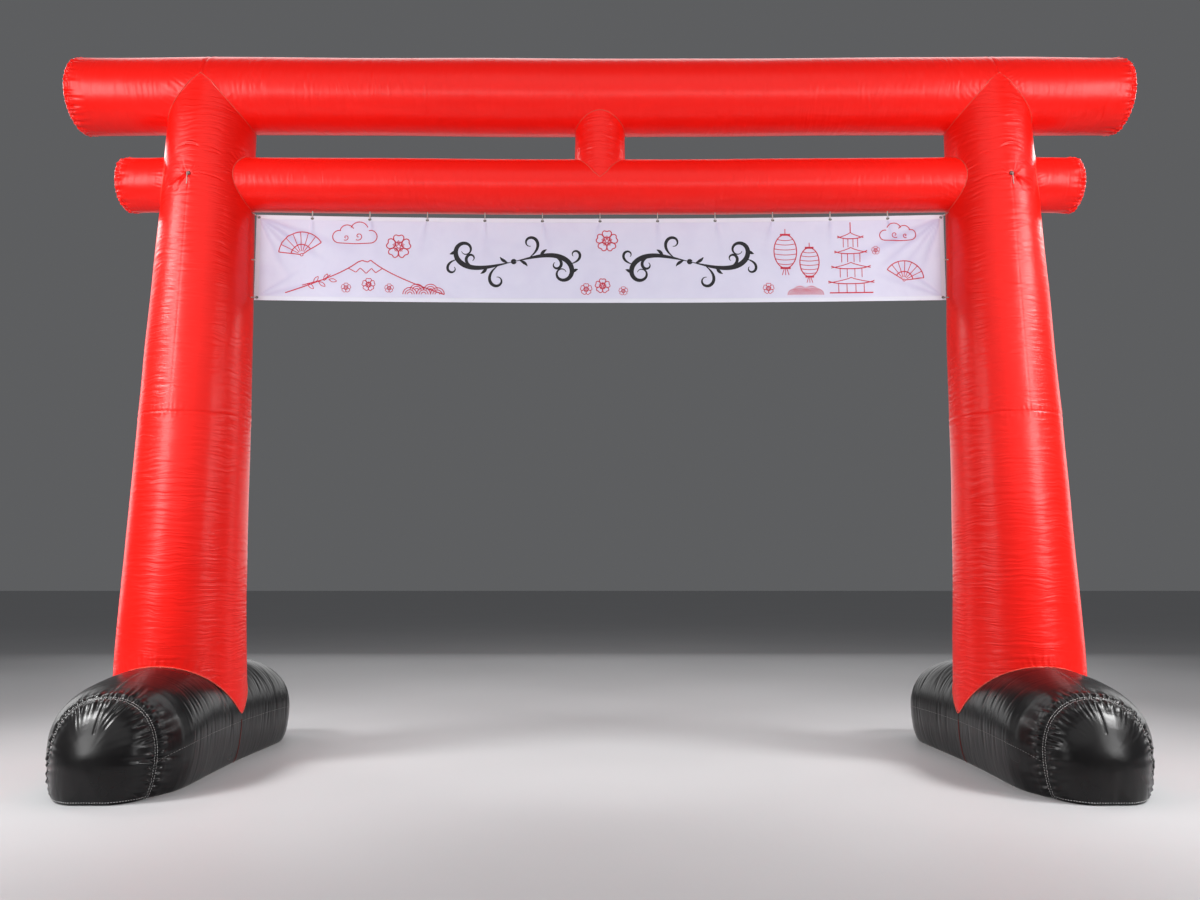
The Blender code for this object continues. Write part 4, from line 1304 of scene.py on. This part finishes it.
def lantern(x, y, wide, tall):
    """A hung paper lantern with its ribs and tassel."""
    yield ribbon(arc(x, y, wide, tall, 0, 360, 48), INK, True)
    for share in (-0.72, -0.45, -0.15, 0.15, 0.45, 0.72):
        half, across = wide * math.sqrt(1 - share**2), np.linspace(-1, 1, 13)
        bowed = y + tall * share + tall * 0.07 * (1 - across**2)
        yield ribbon(np.stack([x + half * across, bowed], 1), INK * 0.7)
    for rim in (y - tall, y + tall):
        yield ribbon([(x - wide * 0.45, rim), (x + wide * 0.45, rim)], INK * 2.0)
    yield ribbon([(x, y - tall), (x, y - tall * 1.35)], INK * 0.8)
    for lean in (-0.10, 0.0, 0.10):
        yield ribbon([(x + lean * wide, y + tall), (x + 3 * lean * wide, y + tall * 1.42)],
                     INK * 0.7)


def tower(x, y, wide, tall):
    """A tower of four storeys, each under a roof with upturned eaves."""
    yield ribbon([(x, y - tall * 0.58), (x, y - tall * 0.42)], INK)
    for level in range(4):
        top = y - tall * 0.42 + level * tall * 0.235
        half, across = wide * (0.30 + 0.075 * level), np.linspace(-1, 1, 21)
        eave = top + tall * 0.10 - tall * 0.045 * np.abs(across) ** 3
        roof = top + tall * 0.085 * np.abs(across) ** 0.7
        yield ribbon(np.stack([x + half * 1.45 * across, eave], 1), INK)
        yield ribbon(np.stack([x + half * 1.45 * across, roof], 1), INK * 0.8)
        for wall in (-0.8, -0.28, 0.28, 0.8):
            yield ribbon([(x + half * wall, top + tall * 0.10),
                          (x + half * wall, top + tall * 0.235)], INK * 0.7)
    yield ribbon([(x - wide * 0.72, y + tall * 0.525), (x + wide * 0.72, y + tall * 0.525)],
                 INK * 1.2)


def mountain(x, y, wide, tall):
    """A mountain with a jagged top and the edge of its snow."""
    across = np.linspace(-1, 1, 41)
    slope = np.abs(across) ** 0.62
    outline = np.stack([x + wide * across, y - tall * (1 - slope) * 1.12], 1)
    outline = outline[outline[:, 1] > y - tall * 0.86]
    left, right = outline[outline[:, 0] < x], outline[outline[:, 0] > x]
    crown = [left[-1], (x - 0.02, y - tall * 0.90), (x + 0.012, y - tall * 0.86),
             (x + 0.03, y - tall * 0.91), right[0]]
    snow = [(left[-1][0] - 0.055, left[-1][1] + 0.035), (x - 0.055, y - tall * 0.58),
            (x - 0.03, y - tall * 0.70), (x + 0.005, y - tall * 0.55),
            (x + 0.035, y - tall * 0.69), (x + 0.060, y - tall * 0.57),
            (right[0][0] + 0.055, right[0][1] + 0.035)]
    yield from (ribbon(left, INK), ribbon(right, INK), ribbon(crown, INK), ribbon(snow, INK * 0.8))


def leaves(x, y, size, turn):
    """A twig with five leaves."""
    twig = [(-1, 0.1), (-0.3, 0.0), (0.5, -0.12), (1.0, -0.4)]
    yield ribbon(turned(twig, x, y, turn, size), INK * 0.8)
    for place, lean in ((-0.6, 50), (-0.2, -48), (0.15, 42), (0.5, -55), (0.85, 20)):
        share = np.linspace(0, 1, 12)
        bulge = 0.11 * np.sin(math.pi * share)
        leaf = np.concatenate([np.stack([0.55 * share, bulge], 1),
                               np.stack([0.55 * (1 - share), -bulge], 1)])
        spot = turned([(place, 0.02 - 0.12 * max(0, place))], x, y, turn, size)[0]
        yield ribbon(turned(leaf, spot[0], spot[1], turn + lean, size), INK * 0.7)


def curl(heading, long, bend, wide, power=2.0):
    """A pen stroke that curls tighter along it: bend is its whole turn and wide its widest."""
    share = np.linspace(0, 1, 90)
    angle = np.radians(heading + bend * share**power)
    line = np.stack([np.cumsum(np.cos(angle)), np.cumsum(np.sin(angle))], 1) * long / 89
    return line, 0.0035 + wide * np.sin(math.pi * share) ** 1.2


def flourish(x, y, side):
    """Two long curls from one middle, with side curls and leaf strokes that spring from them."""
    for flip in (1, -1):
        stem, width = curl(0, 0.72, 440, 0.026, 3.2)
        strokes = [(stem, width)]
        for spot, heading, long, bend, wide in (
            # where it springs, heading, length, bend, width: the side curls, then the leaves
            (12, -26, 0.30, -330, 0.015), (30, 24, 0.22, 320, 0.014), (50, -4, 0.20, -300, 0.012),
            (4, 38, 0.070, 40, 0.015), (22, -44, 0.066, 40, 0.015), (40, 44, 0.060, 40, 0.015),
            (58, -30, 0.050, 40, 0.015),
        ):
            branch, width = curl(heading, long, bend, wide)
            strokes.append((stem[spot] + branch, width))
        for line, width in strokes:
            line = turned(line * flip, 0, 0, -14) * (side, 1)
            yield ribbon(line * 0.84 + (x, y), width)
    yield ribbon(arc(x, y, 0.009, 0.009, 0, 360, 20), 0.016)


def printing_ink(name, colour, worn, patch):
    """Ink that has sunk into the cloth: a little patchy, with the cloth's threads under it."""
    made, wire, feed = material(name, Specular_IOR_Level=0.3)
    place = wire.node("TexCoord", out=3)
    patchy, threads = place.noise(patch, 4.0), place.noise(700.0, 2.0)
    feed(Base_Color=patchy.tint(colour, worn), Roughness=patchy * 0.2 + 0.5,
         Normal=threads.relief(0.0004))
    return made


crimson = printing_ink("crimson_ink", (0.47, 0.010, 0.035), (0.60, 0.030, 0.060), 60.0)
black = printing_ink("black_ink", (0.008, 0.008, 0.010), (0.022, 0.020, 0.026), 45.0)
pictures = printed("banner_line_art", (
    # the left end
    fan(-1.73, 0.235, 0.135, -14), cloud(-1.43, 0.120, 0.105, 1), blossom(-1.17, 0.175, 0.074),
    mountain(-1.36, 0.460, 0.46, 0.22), blossom(-1.34, 0.405, 0.040),
    blossom(-1.22, 0.425, 0.028), blossom(-1.47, 0.425, 0.030),
    waves(-1.02, 0.460, 0.040, (3, 2)), leaves(-1.64, 0.395, 0.085, -8),
    # the middle
    blossom(0.040, 0.135, 0.066), blossom(-0.080, 0.425, 0.036), blossom(0.015, 0.405, 0.046),
    blossom(0.135, 0.435, 0.028),
    # the right end
    blossom(0.975, 0.425, 0.034), lantern(1.075, 0.205, 0.066, 0.100),
    lantern(1.215, 0.270, 0.056, 0.086), tower(1.455, 0.255, 0.175, 0.38),
    cloud(1.735, 0.115, 0.085, -1), fan(1.760, 0.385, 0.115, 14),
    waves(1.190, 0.465, 0.034, (3, 2)), blossom(1.600, 0.205, 0.026),
), crimson)
swirls = printed("banner_black_scroll",
                 (flourish(-0.50, 0.262, 1), flourish(0.52, 0.262, -1)), black)

# ----------------------------------------------------------- eyelets and ties
# A rolled metal eyelet lines each hole of the banner. A short loop of white cord through it holds
# the banner to the lower beam, or to the pillar at the corners and half way down each side.


def eyelet_tree():
    """A rolled metal ring, flat against the cloth, on every point."""
    values, node, ended = seam_tree("eyelets", (
        ("Radius", "Float", 0.0074), ("Roll", "Float", 0.0024)))
    ring = node("CurvePrimitiveCircle", {"Resolution": 28, "Radius": values["Radius"]})
    roll = node("CurvePrimitiveCircle", {"Resolution": 10, "Radius": values["Roll"]})
    rolled = node("CurveToMesh", {"Curve": ring, "Profile Curve": roll})
    upright = node("Transform", {"Geometry": rolled, "Rotation": (math.pi / 2, 0.0, 0.0),
                                 "Scale": (1.0, 0.75, 1.0)})
    spots = node("MeshToPoints", {"Mesh": values["Geometry"]})
    return ended(node("InstanceOnPoints", {"Points": spots, "Instance": upright}))


metal, wire, feed = material("eyelet_metal_finish", Metallic=1.0)
smear = wire.node("TexCoord", out=3).noise(160.0, 4.0)
feed(Base_Color=smear.tint((0.24, 0.22, 0.20), (0.11, 0.10, 0.095)), Roughness=smear * 0.3 + 0.2,
     Normal=smear.relief(0.0003))
cord_white, wire, feed = material("white_cord_finish", Roughness=0.8, Sheen_Weight=0.2)
place = wire.node("TexCoord", out=3)
twist = wire.node("TexWave", {"Vector": place, "Scale": 210.0, "Distortion": 1.0},
                  bands_direction="DIAGONAL", out=1)
worn = place.noise(90.0, 3.0)
# painted shade: the cord is darker in the grooves of its twist, where its relief is low, and also
# darker where the noise shows wear
feed(Base_Color=(twist * 0.5 + worn * 0.4).tint((0.50, 0.46, 0.41), (0.80, 0.78, 0.74)),
     Roughness=worn * 0.2 + 0.65, Normal=twist.relief(0.0012))

words = ["top_left"] + [f"top_{i:02d}" for i in range(1, 12)] + ["top_right"]
centres, loops, knots = {}, [], []
for word, place in zip(words, EYELET_X):
    edge = banner_sheet(np.array(place), np.array(0.0))
    centres[word] = Vector((place, 0.0, edge[2] - EYELET_INSET))
for side, word in ((-1, "bottom_left"), (1, "bottom_right")):
    edge = banner_sheet(np.array(side * BANNER_HALF[0]), np.array(1.0))
    centres[word] = Vector((edge[0] - side * EYELET_INSET, 0.0, edge[2] + EYELET_INSET))
rings = grow("banner_eyelets", eyelet_tree(), [([spot], False) for spot in centres.values()],
             "eyelet_metal", Radius=0.0074, Roll=0.0024, Material=metal)
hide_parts(*(f"eyelet_{word}" for word in centres))

LOOP_TURN, LOOP_HALF = 0.0065, 0.0062  # how far a loop's ends run on, and half its width
KNOT = (0.0024, 0.0072, 0.0042)  # reach along its loop, front to back and sideways
BEAM_GRIP, PILLAR_GRIP = 0.0024, 0.0026  # how far off a tube a loop's end lies
CORNER_DROP = 0.010  # the top corners' loops slope down to the pillars
CORD_RADIUS = 0.0018


def tie_loop(centre, held):
    """A loop of cord through the cloth at a centre, up to where it is held."""
    along, span = (held - centre).normalized(), (held - centre).length
    turns = [(LOOP_TURN * (1 - math.sin(turn)), Vector((0, LOOP_HALF * math.cos(turn), 0)))
             for turn in np.linspace(0, math.pi, 9)]
    near = [centre + along * run + half for run, half in turns]
    return near + [centre + along * (span - run) - half for run, half in turns]


def tie_knot(centre, held):
    """A small overhand turn round a loop, half way up it."""
    along, middle = (held - centre).normalized(), centre.lerp(held, 0.55)
    sideways, back = along.cross(Vector((0, 1, 0))), Vector((0, 1, 0))
    return [middle + along * KNOT[0] * math.sin(1.5 * turn) + back * KNOT[1] * math.cos(turn)
            + sideways * KNOT[2] * math.sin(turn) for turn in np.linspace(0, 2.4 * math.pi, 30)]


def on_pillar(side, z):
    """Where a tie is held on the inner side of a pillar."""
    out = float(pillar_face(0.0, np.array(z), -1)) - PILLAR_GRIP
    return Vector((math.copysign(out, side), 0, z))


for word, centre in centres.items():
    under = float(beam_height(LOWER_AXIS, LOWER_SAG, centre.x)) - LOWER_RADIUS - BEAM_GRIP
    held = Vector((centre.x, 0, under))
    if word in ("top_left", "top_right"):
        held = on_pillar(centre.x, under) - Vector((0, 0, CORNER_DROP))
        knots.append((tie_knot(centre, held), False))
    elif word.startswith("bottom"):
        held = on_pillar(centre.x, centre.z)
    loops.append((tie_loop(centre, held), True))
for side in (-1, 1):
    # one more tie through the hem, half way down each side
    edge = banner_sheet(np.array(side * BANNER_HALF[0]), np.array(0.53))
    centre = Vector((edge[0] - side * 0.006, 0.0, edge[2]))
    loops.append((tie_loop(centre, on_pillar(side, centre.z)), True))
ties = grow("banner_ties", bead, loops + knots, "white_cord", Radius=CORD_RADIUS, Sides=8,
            Material=cord_white)
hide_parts(*(f"tie_{word}" for word in centres))

# --------------------------------------------- pillar eyelets and their cords
# A small dark metal eyelet is set in the front of each pillar. The end of a white twisted cord,
# like that of the ties but thicker, comes out of it and hangs down the pillar.

TAIL_LENGTH, TAIL_THICK = 0.076, 0.005
TAIL_ROUTE = (
    # out from the pillar's surface, and up from the eyelet
    (0.0010, 0.0), (0.0060, 0.0), (0.0095, -0.0020), (0.0115, -0.0065), (0.0120, -0.0140),
    (0.0118, -0.0240), (0.0114, -0.0350), (0.0112, -0.0470), (0.0114, -0.0590), (0.0118, -0.0680),
)
for side, hand in ((-1, "left"), (1, "right")):
    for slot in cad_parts[f"pillar_eyelet_{hand}"].material_slots:
        slot.material = metal
    _, mid, wide, deep = between(PILLAR_ROWS, np.array(EYELET_HEIGHT))
    turn = side * EYELET_TURN
    out = Vector((math.sin(turn), -math.cos(turn), 0))
    root = Vector((side * mid + wide * math.sin(turn), -deep * math.cos(turn), EYELET_HEIGHT))
    curve = bpy.data.curves.new(f"tail_cord_{hand}", "CURVE")
    curve.dimensions = "3D"
    curve.bevel_depth, curve.bevel_resolution = TAIL_THICK / 2, 3
    curve.use_fill_caps = True
    line = curve.splines.new("NURBS")
    line.points.add(len(TAIL_ROUTE) - 1)
    for point, (forth, up) in zip(line.points, TAIL_ROUTE):
        point.co = (*(root + out * forth + Vector((0, 0, up))), 1.0)
    line.use_endpoint_u, line.order_u = True, 3
    tail = bpy.data.objects.new(f"tail_cord_{hand}", curve)
    bpy.context.scene.collection.objects.link(tail)
    curve.materials.append(cord_white)
    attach(tail, "root")
    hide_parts(f"tail_{hand}")

# ----------------------------------------------------------- floor and studio
# A large pale floor, slightly glossy, with a plain pale sky and soft boxes round the gate. The
# camera stands low in front of it and looks up a little.

made, wire, feed = material("studio_floor", Specular_IOR_Level=0.3)
place = wire.node("TexCoord", out=3)
stain, speck = place.noise(0.6, 4.0), place.noise(60.0, 3.0)
feed(Base_Color=stain.tint((0.50, 0.50, 0.51), (0.57, 0.57, 0.58)), Roughness=stain * 0.1 + 0.50,
     Normal=speck.relief(0.0004))
mesh = bpy.data.meshes.new("floor")
mesh.from_pydata([(-60, -30, 0), (60, -30, 0), (60, 90, 0), (-60, 90, 0)], [], [range(4)])
floor = bpy.data.objects.new("floor", mesh)
bpy.context.scene.collection.objects.link(floor)
mesh.materials.append(made)
floor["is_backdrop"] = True

world = bpy.data.worlds.new("studio")
world.use_nodes = True
sky = world.node_tree.nodes["Background"].inputs
sky["Color"].default_value, sky["Strength"].default_value = (0.55, 0.56, 0.58, 1.0), 0.20
bpy.context.scene.world = world
bpy.context.scene.view_settings.view_transform = "Standard"

SOFT_BOXES = (
    # name, place, what it faces, size, power, spread. One off the middle has a twin on the left.
    ("soft_side", (5.4, -4.6, 3.2), (2.4, 0, 2.3), (1.8, 3.4), 40.0, 80.0),
    ("soft_beam", (3.4, -6.0, 2.25), (3.0, -2.0, 5.4), (6.4, 0.6), 58.0, 110.0),
    ("soft_front", (0.0, -6.5, 6.5), (0, 0, 2.2), (8.0, 5.0), 118.0, 180.0),
    ("soft_over", (0.0, 3.0, 8.0), (0, 0, 2.5), (11.0, 2.5), 200.0, 180.0),
    ("soft_rear", (8.5, 4.5, 3.0), (2.0, 0, 2.4), (2.2, 6.4), 32.0, 120.0),
    ("soft_end", (6.8, 2.6, 5.9), (3.0, 0, 3.7), (2.0, 2.0), 32.0, 90.0),
    ("soft_cap", (5.8, -2.4, 4.5), (2.4, -0.9, 0.4), (1.4, 1.4), 52.0, 70.0),
    ("soft_behind", (0.0, 8.0, 2.2), (0, 0, 3.0), (14.0, 2.0), 100.0, 180.0),
)
for name, place, aim, size, power, spread in SOFT_BOXES:
    for side in (-1, 1) if place[0] else (1,):
        lamp = bpy.data.lights.new(name, "AREA")
        lamp.shape = "ELLIPSE" if size[1] > size[0] else "RECTANGLE"
        lamp.size, lamp.size_y = size
        lamp.energy, lamp.spread = power, math.radians(spread)
        box = bpy.data.objects.new(name, lamp)
        box.location = Vector(place) * Vector((side, 1, 1))
        facing = Vector(aim) * Vector((side, 1, 1)) - box.location
        box.rotation_euler = facing.to_track_quat("-Z", "Y").to_euler()
        box.visible_camera = False
        bpy.context.scene.collection.objects.link(box)

lens = bpy.data.cameras.new("camera")
lens.lens, lens.sensor_width = 28.0, 36.0
camera = bpy.data.objects.new("camera", lens)
camera.location = (0.0, -5.195, 0.967)
camera.rotation_euler = (math.radians(98.0), 0.0, 0.0)
bpy.context.scene.collection.objects.link(camera)
bpy.context.scene.camera = camera

low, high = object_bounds()
({"cad": [list(corner) for corner in cad_box],
           "scene": [list(low), list(high)]})
